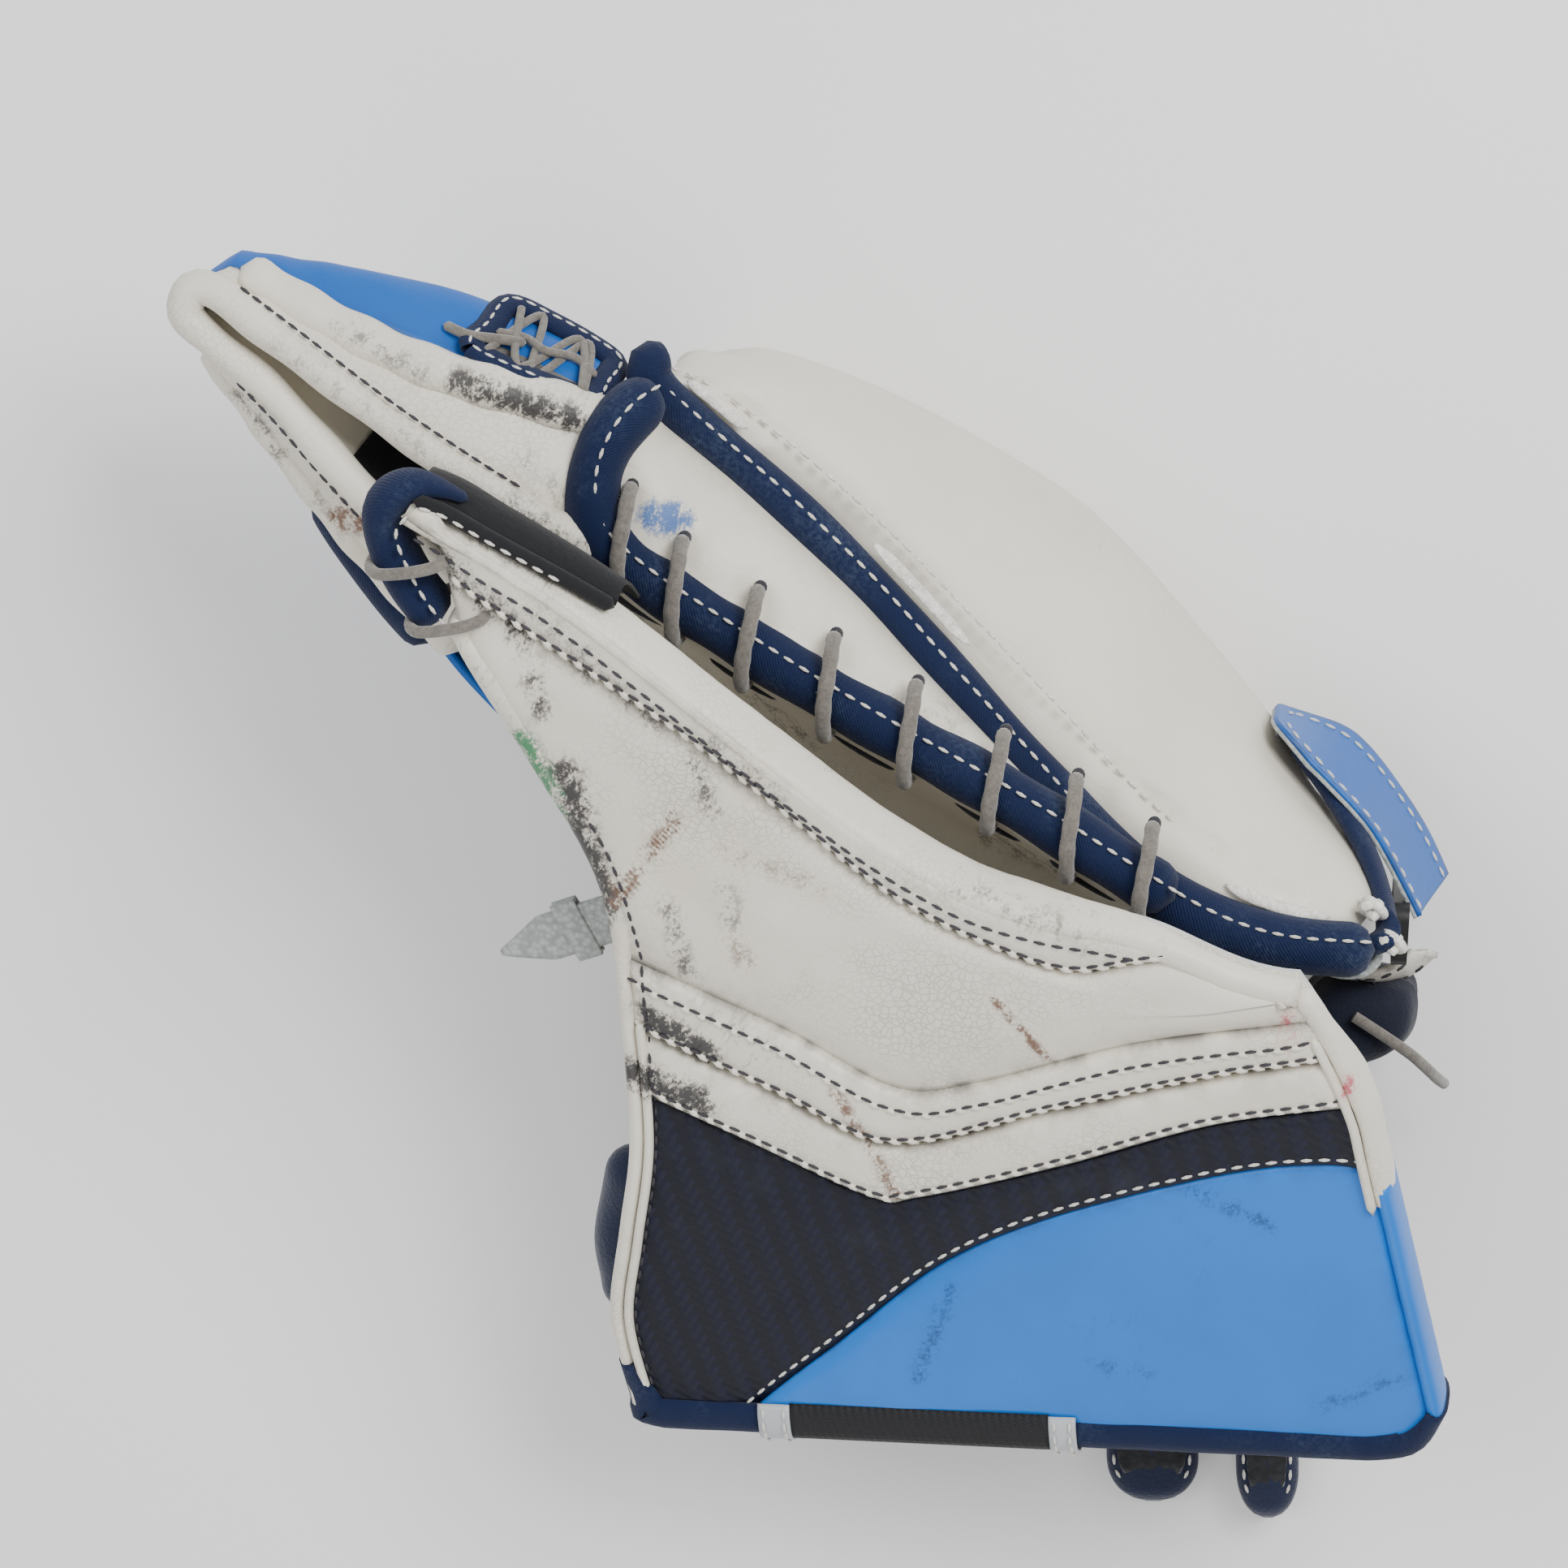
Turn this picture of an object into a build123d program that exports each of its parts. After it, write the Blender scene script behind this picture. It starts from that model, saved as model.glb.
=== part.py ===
"""Ice hockey goalie catch glove (trapper), closed and lying on its backhand pad.

Row frame, millimetres: the origin lies on the flat face the backhand pad rests on, +X runs along the
pocket from the T tip to the heel, +Y points out of the mouth, and +Z is up.
Two halves meet like a clam: the finger side below, and the thumb and cuff board above it.
"""
from build123d import *
import os
from math import cos, radians, sin, tan

os.makedirs("parts", exist_ok=True)

# ---------------------------------------------------------------- driving dimensions
SEAT = 0.3                # clearance between pieces of different bodies, and at loose seats

# thumb and cuff board: a flat padded board, leaning up towards the lip
BOARD_HEIGHT = 140.0      # height of the board's outer face at the lip
LIP_Y = 5.0               # where the lip stands over the pad
BOARD_ROLL = 20.0         # degrees, lip high and cuff low
BOARD_PITCH = 5.0         # degrees, tip high and heel low
LEATHER = 2.0             # cover leather
CORE = 11.0               # high density foam
STIFFENER = 1.6           # plastic sheet
LINING = 1.5              # inner fabric
CUFF_WIDTH = 204.0        # cuff end, corner to corner
CUFF_ANGLE = 34.0         # degrees between the cuff end and the lip
EDGE = 4.5                # width of the rolled edges round the board
BINDING_WIDTH = 11.0      # fabric binding over the cuff end
TAG_LENGTH = 68.0         # woven tag on the cuff end binding
TAG_START = 42.0          # from the cuff's left corner to the tag
TAB_WIDTH = 9.0           # reflective tabs at the ends of the tag
THUMB_LINER = 2.0         # pocket leather under the thumb
THUMB_ROOM = 26.0         # clear width of the thumb stall
THUMB_HEIGHT = 17.0       # clear height of the thumb stall

# finger side
PAD_WALL = 2.5            # leather and backing of the backhand pad
PAD_DEPTH = 27.0          # height of the pad's inner face over its rest face
BACKHAND_BOARD = 2.5      # stiff board over the pad
HAND_LINER = 1.5          # brushed lining on that board
HAND_ROOM = 24.5          # height of the space for the fingers
PALM_FELT = 4.0           # felt between the fingers and the palm leather
PALM_LEATHER = 3.0        # pocket leather
FINGER_WALL = 10.0        # padded wall between the pad and the laced edge
LACED_RADIUS = 7.0        # rolled binding on the laced edge
PAD_ROLL = 5.0            # rolled binding round the pad
LACE = 3.0                # round lace
STALL_WALL = 1.5          # fabric walls between the finger stalls
STALL_DEPTH = 58.0        # how long those walls are
STALL_TURN = 14.0         # degrees the fingers point towards the spine side
STALL_WALLS_Y = (-28, -12, 4)

# wrist
FOREARM_SPACE = 124.0     # clear width between the sides of the wrist wrap
WRAP = 9.0                # padded wrist wrap
WRAP_LENGTH = 102.0
WRAP_LIP = 8.0            # how far the wrap reaches past the cuff end
STRAP_WIDTH = 36.0        # wrist strap
STRAP_THICKNESS = 2.4
HOOK_THICKNESS = 1.4      # hook fastener on the strap
WEBBING = 1.5             # adjustment webbing
WEBBING_WIDTH = 10.0

# T pocket
TEE_BASE = -126.0         # plane where the T meets the tips of the finger side
TEE_TIP = -230.0          # how far out the T reaches
WEB_GAP = 0.5             # running gap at that plane
TEE_ROLL = 4.5            # radius of the rolled edge
TEE_SHEET = 4.0           # padded leather of the T

# stack of the board, measured down from its outer face
FOAM_TOP = -LEATHER
STIFF_TOP = FOAM_TOP - CORE
LINING_TOP = STIFF_TOP - STIFFENER
UNDERSIDE = LINING_TOP - LINING
LINER_SIDE = UNDERSIDE - THUMB_LINER

# stack of the hand space, measured up from the rest face
BOARD_TOP = PAD_DEPTH + BACKHAND_BOARD
LINER_TOP = BOARD_TOP + HAND_LINER
FELT_LOW = LINER_TOP + HAND_ROOM
PALM_LOW = FELT_LOW + PALM_FELT
PALM_TOP = PALM_LOW + PALM_LEATHER

PARTS = {}


def along(stations, x):
    """Value at x on straight stretches through the (x, value) stations."""
    for (xa, a), (xb, b) in zip(stations, stations[1:]):
        if x <= xb:
            return a + (b - a) * max(0.0, x - xa) / (xb - xa)
    return stations[-1][1]


def tube(points, radii, radius):
    """Round tube along straight runs joined by tangent arcs."""
    path = FilletPolyline(*points, radius=radii)
    return sweep(Plane(path @ 0, z_dir=path % 0) * Circle(radius), path=path)


def section_loft(xs, section, wall=0.0):
    """Solid through one closed (y, z) section at each x, drawn in by wall."""
    faces = []
    for x in xs:
        face = make_face(Polyline(*section(x), close=True))
        if wall:
            face = offset(face, -wall, kind=Kind.INTERSECTION)
        faces.append(Plane(origin=(x, 0, 0), x_dir=(0, 1, 0), z_dir=(1, 0, 0)) * face)
    return loft(faces, ruled=True)


def thick_line(points, thickness):
    """Closed section of a sheet: the open (y, z) line, and the same line set back by thickness."""
    back = []
    for i, here in enumerate(points):
        before = Vector(*points[max(i - 1, 0)])
        after = Vector(*points[min(i + 1, len(points) - 1)])
        run = (after - before).normalized()
        back.append((here[0] + run.Y * thickness, here[1] - run.X * thickness))
    return list(points) + back[::-1]


# ---------------------------------------------------------------- thumb and cuff board
board = Plane(Pos(0, LIP_Y, BOARD_HEIGHT) * Rot(0, BOARD_PITCH, 0) * Rot(BOARD_ROLL, 0, 0))
cuff_dir = Vector(cos(radians(CUFF_ANGLE)), sin(radians(CUFF_ANGLE)))
CUFF_LEFT = Vector(20, -208)
CUFF_RIGHT = CUFF_LEFT + cuff_dir * CUFF_WIDTH

THUMB_EDGE = [(-151, 5), (-140, -5), (-124, -24), (-98, -41), (-71, -59), (-56, -75), (-43, -95), (-24, -127),
              (-13, -155), (-3, -180)]
LIP_EDGE = [(92, 12), (76, 6), (53, 3), (31, -6), (12, -11), (-11, -11), (-34, -8), (-70, -2), (-107, 4), (-151, 5)]
HEEL_EDGE = [(137, -24), (123, -9), (103, 6), (92, 12)]

# seams across the board, from the thumb edge to the heel edge
LIP_SEAM = [(-160, -5), (-126, -9), (-64, -14), (-17, -22), (1, -24), (19, -23), (42, -18), (55, -6), (74, 13),
            (84, 40)]
WELT_SEAM = [(-70, -82), (-51, -79), (-8, -74), (24, -73), (40, -60), (67, -26), (96, 2), (112, 18)]
MID_SEAM = [(-60, -98), (-39, -96), (0, -92), (32, -88), (60, -55), (90, -20), (111, 0), (124, 12)]
NAVY_SEAM = [(-50, -115), (-30, -113), (-3, -110), (35, -106), (45, -99), (69, -70), (95, -35), (122, -9),
             (134, 0)]
BLUE_SEAM = [(34, -225), (43, -179), (50, -152), (60, -113), (76, -83), (103, -48), (121, -31), (135, -24),
             (155, -20)]
FAR = 320                 # beyond any edge of the board


def on_board(face, top, thickness):
    """A face drawn on the board, as a slab from the height top down."""
    return extrude(board.offset(top - thickness) * face, thickness, dir=board.z_dir)


def below(seam, lift=0.0):
    """Cutter for everything on the cuff side of a seam, with the seam lifted by lift."""
    points = [Vector(x, y + lift) for x, y in seam]
    corners = [points[-1], Vector(FAR, points[-1].Y), Vector(FAR, -FAR), Vector(points[0].X, -FAR), points[0]]
    return on_board(make_face(Spline(*points) + Polyline(*corners)), 2 * LEATHER, 4 * LEATHER)


def drawn_in(loop, by):
    """The corners of a closed anticlockwise loop, each moved in so that every side moves by the same amount."""
    moved = []
    for before, here, after in zip([loop[-1], *loop], loop, [*loop[1:], loop[0]]):
        first, second = (here - before).normalized(), (after - here).normalized()
        normals = Vector(-first.Y, first.X), Vector(-second.Y, second.X)
        moved.append(here + (normals[0] + normals[1]) * (by / (1 + normals[0].dot(normals[1]))))
    return moved


def board_outline(inset=0.0):
    """Silhouette of the board with its rolled edges, or a line inside it."""
    left = [CUFF_LEFT + Vector(-6, 7), CUFF_LEFT + Vector(-2.5, 1.5), CUFF_LEFT + cuff_dir * 6]
    right = [CUFF_RIGHT - cuff_dir * 12, CUFF_RIGHT + Vector(-2, 2.5), CUFF_RIGHT + Vector(-3, 16)]
    thumb, heel, lip = ([Vector(*point) for point in edge] for edge in (THUMB_EDGE, HEEL_EDGE, LIP_EDGE))
    loop = drawn_in([*thumb, *left, *right, *heel, *lip[1:-1]], inset)
    ends = [len(thumb), len(thumb) + 2, len(thumb) + 3, len(thumb) + 5, len(thumb) + 5 + len(heel), len(loop)]
    loop.append(loop[0])
    stretches = [loop[start:end + 1] for start, end in zip([0, *ends], ends)]
    kinds = [Spline, ThreePointArc, Line, ThreePointArc, Spline, Spline]
    return make_face([kind(*points) for kind, points in zip(kinds, stretches)])


outline = board_outline()
core = board_outline(EDGE)
cuff_end = Plane(origin=CUFF_LEFT, x_dir=cuff_dir) * Pos(CUFF_WIDTH / 2, 0) * Rectangle(2 * FAR, 2 * BINDING_WIDTH)
body_core = core - cuff_end


def board_covers():
    cover = on_board(body_core, 0, LEATHER)
    seams = [None, LIP_SEAM, WELT_SEAM, MID_SEAM, NAVY_SEAM, BLUE_SEAM, None]
    names = ["lip_band", "thumb_panel", "welt_band_upper", "welt_band_lower", "navy_panel", "blue_panel"]
    for name, upper, lower in zip(names, seams, seams[1:]):
        piece = cover
        if upper:
            piece = piece & below(upper)
        if lower:
            piece = piece - below(lower, SEAT)
        PARTS[name] = piece


def board_inside():
    PARTS["cuff_core"] = on_board(core, FOAM_TOP, CORE) - on_board(cuff_end, FOAM_TOP, LEATHER)
    PARTS["cuff_stiffener"] = on_board(core, STIFF_TOP, STIFFENER)
    PARTS["cuff_lining"] = on_board(core, LINING_TOP, LINING)


def rolled_edges():
    """The ring round the board, split into the lip roll, the two pipings and the cuff end binding."""
    ring = outline - core
    split_lip = make_face(Polyline((-FAR, -7), (-146, -7), (-120, 0), (-60, -40), (60, -40), (93, 11), (93, FAR),
                                   (-FAR, FAR), close=True))
    split_left = make_face(Polyline((-FAR, FAR), (40, FAR), (40, -170), (40, -FAR), (-FAR, -FAR), close=True))
    lip = ring & split_lip
    end = ring & cuff_end
    rest = ring - split_lip - cuff_end
    height = LEATHER + CORE
    PARTS["lip_roll"] = on_board(lip, 0, height)
    PARTS["thumb_edge_piping"] = on_board(rest & split_left, 0, height)
    PARTS["heel_edge_piping"] = on_board(rest - split_left, 0, height)
    top = on_board(core & cuff_end, 0, 2 * LEATHER)
    tag_recess = on_board(tag_face(TAG_START - TAB_WIDTH, TAG_LENGTH + 2 * TAB_WIDTH), 0, LEATHER / 2)
    PARTS["cuff_end_binding"] = on_board(end, 0, -UNDERSIDE) + top - tag_recess


def tag_face(start, length):
    """A rectangle on the cuff end binding, from start along it."""
    centre = Pos(start + length / 2, BINDING_WIDTH / 2)
    return Plane(origin=CUFF_LEFT, x_dir=cuff_dir) * centre * Rectangle(length, BINDING_WIDTH)


def cuff_tag():
    PARTS["woven_tag"] = on_board(tag_face(TAG_START, TAG_LENGTH), 0, LEATHER / 2)
    tabs = [on_board(tag_face(start, TAB_WIDTH), 0, LEATHER / 2)
            for start in (TAG_START - TAB_WIDTH, TAG_START + TAG_LENGTH)]
    PARTS["tag_tabs"] = Compound(children=tabs)


def thumb_tip():
    """Fabric binding round the thumb tip, and the two lace loops that hold it."""
    shape = make_face(Spline((-147, 6), (-157, 12), (-164, 2), (-158, -12), (-143, -27), (-128, -31), (-122, -27))
                      + Line((-122, -27), (-147, 6)))
    binding = on_board(shape - outline, 0, -UNDERSIDE)
    loops, holes = [], []
    for corner, turn in (((-154, -9), 20.0), ((-136, -26), 35.0)):
        for radius, made in ((LACE / 2, loops), (LACE / 2 + SEAT, holes)):
            made.append(lace_ring(board * Pos(*corner) * Rot(0, 0, turn), 13.0, -UNDERSIDE + LACE + 2 * SEAT,
                                  UNDERSIDE / 2, radius))
    PARTS["thumb_lacing"] = Compound(children=loops)
    for hole in holes:
        binding = binding - hole
    PARTS["thumb_tip_binding"] = binding
    for name in ("lip_roll", "thumb_edge_piping", "lip_band", "thumb_panel", "cuff_core", "cuff_stiffener",
                 "cuff_lining"):
        for hole in holes:
            PARTS[name] = PARTS[name] - hole


def lace_ring(place, width, height, middle, radius):
    """One closed loop of lace: a rounded rectangle of round cord, width by height, standing on place."""
    frame = Plane(place * Pos(0, 0, middle) * Rot(90, 0, 0))
    path = frame * RectangleRounded(width, height, LACE)
    wire = path.faces()[0].outer_wire()
    return sweep(Plane(wire @ 0, z_dir=wire % 0) * Circle(radius), path=wire)


def thumb_inside():
    """The thumb stall under the board, the pocket leather beside it and the loop for the webbing."""
    wall = PALM_LEATHER
    span = Pos(17.5, -73)
    outer = Rectangle(85, THUMB_ROOM + 2 * wall)
    sleeve = on_board(span * outer, UNDERSIDE, THUMB_HEIGHT + wall)
    room = on_board(span * Rectangle(85 + 2 * wall, THUMB_ROOM), UNDERSIDE, THUMB_HEIGHT)
    PARTS["thumb_stall"] = sleeve - room
    pocket_side = Polyline((-120, -6), (-104, -30), (-60, -52), (48, -52), (48, -8), (30, -14), (-34, -20),
                           (-70, -12), close=True)
    PARTS["thumb_liner"] = on_board(make_face(pocket_side), UNDERSIDE, THUMB_LINER)
    guide = Plane(webbing_place * Pos(22, 0))
    loop = extrude(guide.offset(UNDERSIDE) * Rectangle(7, WEBBING_WIDTH + 6), -(WEBBING + 2 * SEAT + 2))
    slot = extrude(guide.offset(UNDERSIDE) * Rectangle(9, WEBBING_WIDTH + 2 * SEAT), -(WEBBING + 2 * SEAT))
    PARTS["webbing_loop"] = loop - slot


# the adjustment webbing leaves the thumb edge of the board, slightly towards the cuff
webbing_place = board * Pos(-75, -108) * Rot(0, 0, 54)
WEBBING_LENGTH = 64.0


def adjustment_webbing():
    point = WEBBING_WIDTH * 1.2
    half = WEBBING_WIDTH / 2
    shape = make_face(Polyline((0, 0), (point, half), (WEBBING_LENGTH, half), (WEBBING_LENGTH, -half),
                               (point, -half), close=True))
    top = Plane(webbing_place).offset(UNDERSIDE - SEAT)
    PARTS["adjustment_webbing"] = extrude(top * shape, -WEBBING)


def cuff_gusset():
    """Padded fabric roll under the thumb edge of the cuff."""
    centres = [board * Pos(-13, -148, UNDERSIDE - 6), board * Pos(-6, -168, UNDERSIDE - 6),
               board * Pos(6, -190, UNDERSIDE - 6)]
    points = [place.position for place in centres]
    PARTS["cuff_gusset"] = tube(points, [30.0], 6.0)


# ---------------------------------------------------------------- finger side
BINDING_Y = [(TEE_BASE, 50), (-102, 44), (-75, 38), (-47, 31), (-18, 22), (11, 14), (39, 7), (62, 6), (83, 10),
             (107, 22)]
BINDING_Z = [(TEE_BASE, 88), (-102, 80), (-75, 74), (-18, 74), (11, 80), (39, 90), (62, 96), (107, 96)]
PAD_OUT = [(TEE_BASE, 54), (-118, 58), (-104, 67), (-78, 72), (-43, 74), (-8, 72), (33, 60), (58, 51),
           (77, 42), (96, 36), (107, 33)]
PAD_IN = [(TEE_BASE, 34), (-104, -14), (-75, -36), (-40, -54), (0, -60), (45, -60), (70, -50), (92, -28), (107, 2)]
LACED_Y = [(-121, 30), (-108, 16), (-78, 12), (-35, 11), (10, 12), (52, 12)]
LACED_Z = [(-121, 97), (-100, 99), (10, 99), (52, 104)]
SPINE_Y = [(-112, -22), (-75, -42), (-40, -61), (0, -79), (50, -80)]
SPINE_Z = [(-112, 96), (-75, 84), (-40, 76), (0, 69), (50, 68)]
SPINE_LEAN = [(-112, 3), (-75, 11), (-40, 30), (0, 25), (50, 17)]    # how far the spine fold leans out
LACE_PLACES = [-104, -86, -65, -42, -19, 5, 27, 48]      # x of each loop of lace on the laced edge
SPINE_RISE = 40.0
PAD_STATIONS = [TEE_BASE, -114, -95, -70, -40, 0, 40, 70, 92, 107]
WALL_STATIONS = [-116, -104, -78, -47, -18, 11, 39, 52]


def pad_section(x):
    """Backhand pad: flat below, bulging out past the mouth, up to the rolled binding."""
    top_y, top_z = along(BINDING_Y, x), along(BINDING_Z, x)
    out, back = along(PAD_OUT, x), along(PAD_IN, x)
    shoulder = top_y + PAD_ROLL + 4
    return [(back, 0), (max(back + 8, out - 24), 0), (out - 5, 13), (out, 38),
            (out - 0.4 * (out - shoulder), 0.62 * top_z + 12), (shoulder, top_z + 1), (top_y, top_z - 3),
            (top_y - 5, PAD_DEPTH), (back, PAD_DEPTH)]


def wall_section(x):
    """Padded wall of the finger stalls, from the backhand board up to the laced edge."""
    top_y, top_z = along(BINDING_Y, x), along(BINDING_Z, x)
    lace_y, lace_z = along(LACED_Y, x), along(LACED_Z, x)
    foot = top_y - 5 - SEAT
    return [(foot - FINGER_WALL, BOARD_TOP), (foot, BOARD_TOP), (top_y - SEAT, top_z - 3),
            (lace_y + 0.7 * LACED_RADIUS, lace_z), (lace_y - 0.7 * LACED_RADIUS, lace_z - 2),
            (top_y - FINGER_WALL - 2, top_z - 8)]


def palm_line(x):
    """Pocket leather across the palm, from the laced edge over the felt to the spine."""
    lace_y, lace_z = along(LACED_Y, x), along(LACED_Z, x)
    spine_y, spine_z = along(SPINE_Y, x), along(SPINE_Z, x)
    return [(spine_y, spine_z), (spine_y + 15, PALM_TOP), (lace_y - 27, PALM_TOP), (lace_y - 17, 72),
            (lace_y - LACED_RADIUS - 3, lace_z - 4)]


def hand_plan(margin, left=-98, right=92):
    """Outline of the flat space over the backhand pad, drawn in by margin from both walls."""
    xs = [left, -75, -40, 0, 45, 70, right]
    back = [(x, along(PAD_IN, x) + margin) for x in xs]
    front = [(x, along(BINDING_Y, x) - 5 - margin) for x in xs]
    return make_face(Polyline(*back, *front[::-1], close=True))


def slab(face, low, height):
    return extrude(Pos(0, 0, low) * face, height)


pad = section_loft(PAD_STATIONS, pad_section)


def backhand():
    """Padded shell over the backs of the fingers, its foam, stiff board and hand lining."""
    foam = section_loft(PAD_STATIONS[1:-1], pad_section, PAD_WALL)
    shell = pad - PARTS["backhand_binding"] - PARTS["laced_edge_binding"]
    PARTS["backhand_pad_foam"] = foam - PARTS["backhand_binding"] - PARTS["laced_edge_binding"]
    PARTS["backhand_pad_cover"] = shell - foam
    PARTS["backhand_board"] = slab(hand_plan(1.0), PAD_DEPTH, BACKHAND_BOARD)
    PARTS["hand_liner"] = slab(hand_plan(FINGER_WALL + 2), BOARD_TOP, HAND_LINER)


def bindings():
    """The rolled bindings round the pad and along the laced edge."""
    pad_line = [(x, along(BINDING_Y, x) + PAD_ROLL - 1, along(BINDING_Z, x) + 1)
                for x in (-121, -95, -60, -18, 20, 50, 78, 106)]
    PARTS["backhand_binding"] = tube(pad_line, [60.0] * (len(pad_line) - 2), PAD_ROLL)
    edge_line = [(x, along(LACED_Y, x), along(LACED_Z, x)) for x in (58, 10, -50, -96)]
    edge_line += [(-116, 22, 98), (-119, 40, 95)]
    PARTS["laced_edge_binding"] = tube(edge_line, [60.0, 60.0, 30.0, 9.0], LACED_RADIUS) - PARTS["backhand_binding"]


def finger_wall():
    wall = section_loft(WALL_STATIONS, wall_section)
    PARTS["finger_wall"] = wall - pad - PARTS["laced_edge_binding"] - PARTS["backhand_binding"]


def palm():
    """Pocket leather with its lace slots, and the felt under it."""
    xs = [-112, -75, -40, 0, 50]
    sheet = section_loft(xs, lambda x: thick_line(palm_line(x), PALM_LEATHER))
    for x in (-72, -40, -8, 24):
        slot = Pos(x, along(LACED_Y, x) - 34, PALM_TOP) * Rot(0, 0, -12) * Box(18, 3.5, 12)
        sheet = sheet - slot
    PARTS["palm_leather"] = sheet - PARTS["laced_edge_binding"] - PARTS["finger_wall"]
    felt_line = [(x, along(SPINE_Y, x) + 17) for x in (-75, -40, 0, 48)]
    felt_line += [(x, along(LACED_Y, x) - 29) for x in (48, 0, -40, -75)]
    PARTS["palm_felt"] = slab(make_face(Polyline(*felt_line, close=True)), FELT_LOW, PALM_FELT)


def under_thumb():
    """Everything above the closed thumb's pocket leather."""
    return on_board(Rectangle(3 * FAR, 3 * FAR), LINER_SIDE - SEAT + FAR, FAR)


def spine_fold():
    """The palm leather folded up at the spine of the pocket, to the thumb that hinges there."""
    def fold(x):
        foot = along(SPINE_Y, x), along(SPINE_Z, x)
        head = foot[0] - along(SPINE_LEAN, x), foot[1] + SPINE_RISE
        return thick_line([head, foot], PALM_LEATHER)
    PARTS["spine_fold"] = section_loft([-112, -75, -40, 0, 50], fold) - under_thumb() - PARTS["palm_leather"]


def finger_stalls():
    """Three fabric walls between the four fingers."""
    walls = []
    for between in STALL_WALLS_Y:
        place = Pos(-60, between, LINER_TOP + HAND_ROOM / 2) * Rot(0, 0, -STALL_TURN)
        walls.append(place * Box(STALL_DEPTH, STALL_WALL, HAND_ROOM))
    PARTS["finger_stall_walls"] = Compound(children=walls)


def edge_loop(x, radius):
    """A loop of lace over the laced edge at x, down both faces of the finger wall."""
    y, z = along(LACED_Y, x), along(LACED_Z, x)
    reach = LACED_RADIUS + LACE / 2 + SEAT
    frame = Plane(origin=(x, y, z), x_dir=(0, 1, 0), z_dir=(0.94, 0.34, 0))
    path = frame * Pos(2, -5) * RectangleRounded(2 * reach + 4, 2 * reach + 10, reach - 1)
    wire = path.faces()[0].outer_wire()
    return sweep(Plane(wire @ 0, z_dir=wire % 0) * Circle(radius), path=wire)


def edge_lacing():
    PARTS["edge_lacing"] = Compound(children=[edge_loop(x, LACE / 2) for x in LACE_PLACES])
    for name in ("finger_wall", "laced_edge_binding", "palm_leather", "backhand_pad_cover", "backhand_binding",
                 "backhand_pad_foam"):
        for x in LACE_PLACES:
            PARTS[name] = PARTS[name] - edge_loop(x, LACE / 2 + SEAT)


def under_board():
    """Everything above the underside of the closed thumb board."""
    return on_board(Rectangle(3 * FAR, 3 * FAR), UNDERSIDE - SEAT + FAR, FAR)


def heel_joint():
    """Firm leather block where the two lips meet at the heel; the closed thumb rests on it."""
    block = slab(Pos(68, 3) * Rectangle(16, 20), 90, 60)
    PARTS["heel_block"] = block - under_board() - pad - PARTS["backhand_binding"] - PARTS["laced_edge_binding"]


# ---------------------------------------------------------------- wrist
cuff_middle = board * Pos(*(CUFF_LEFT + cuff_dir * (CUFF_WIDTH / 2)))
middle = cuff_middle.position
side = (board * Pos(*CUFF_RIGHT)).position - (board * Pos(*CUFF_LEFT)).position
side = Vector(side.X, side.Y).normalized()
forearm = Plane(origin=(middle.X, middle.Y, 0), x_dir=side, z_dir=Vector(side.Y, -side.X))
WRAP_HEEL_SIDE = 44.0     # height of the wrap on the heel side
WRAP_THUMB_SIDE = 22.0    # and on the thumb side, under the opening cuff


def wrist_wrap():
    """Padded wrap the forearm lies in, under the cuff, with two tongues past the cuff end."""
    half = FOREARM_SPACE / 2
    trough = make_face(Polyline((-half - WRAP, 2), (-half - WRAP + 4, 0), (half + WRAP - 8, 0), (half + WRAP, 8),
                                (half + WRAP, WRAP_HEEL_SIDE), (half, WRAP_HEEL_SIDE), (half, 16), (half - 7, WRAP),
                                (-half + 5, WRAP), (-half, 14), (-half, WRAP_THUMB_SIDE),
                                (-half - WRAP, WRAP_THUMB_SIDE), close=True))
    start = WRAP_LIP - WRAP_LENGTH
    wrap = extrude(forearm.offset(start) * trough, WRAP_LENGTH)
    PARTS["wrist_wrap"] = wrap - pad
    for name, place, width in (("wrap_tongue_inner", 30, 24), ("wrap_tongue_outer", 61, 17)):
        tip = WRAP_LIP + 30
        shape = make_face(Polyline((place - width / 2, WRAP_LIP), (place + width / 2, WRAP_LIP),
                                   (place + width / 2, tip - 8), (place + width / 4, tip), (place - width / 4, tip),
                                   (place - width / 2, tip - 10), close=True))
        lying = Plane(origin=forearm.origin + Vector(0, 0, 3), x_dir=side, z_dir=(0, 0, -1))
        PARTS[name] = extrude(lying * shape, -WRAP)


def arc_band(start, through, end, low, height, thickness):
    """Band that stands on edge; start, through and end lie on its inner face."""
    inner = ThreePointArc(start, through, end)
    centre = inner.arc_center
    grown = [centre + (point - centre).normalized() * ((point - centre).length + thickness)
             for point in (Vector(*start), Vector(*through), Vector(*end))]
    outer = ThreePointArc(*grown)
    face = make_face([inner, Line(inner @ 1, outer @ 1), outer, Line(outer @ 0, inner @ 0)])
    return slab(face, low, height)


STRAP_LOW = 26.0


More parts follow.
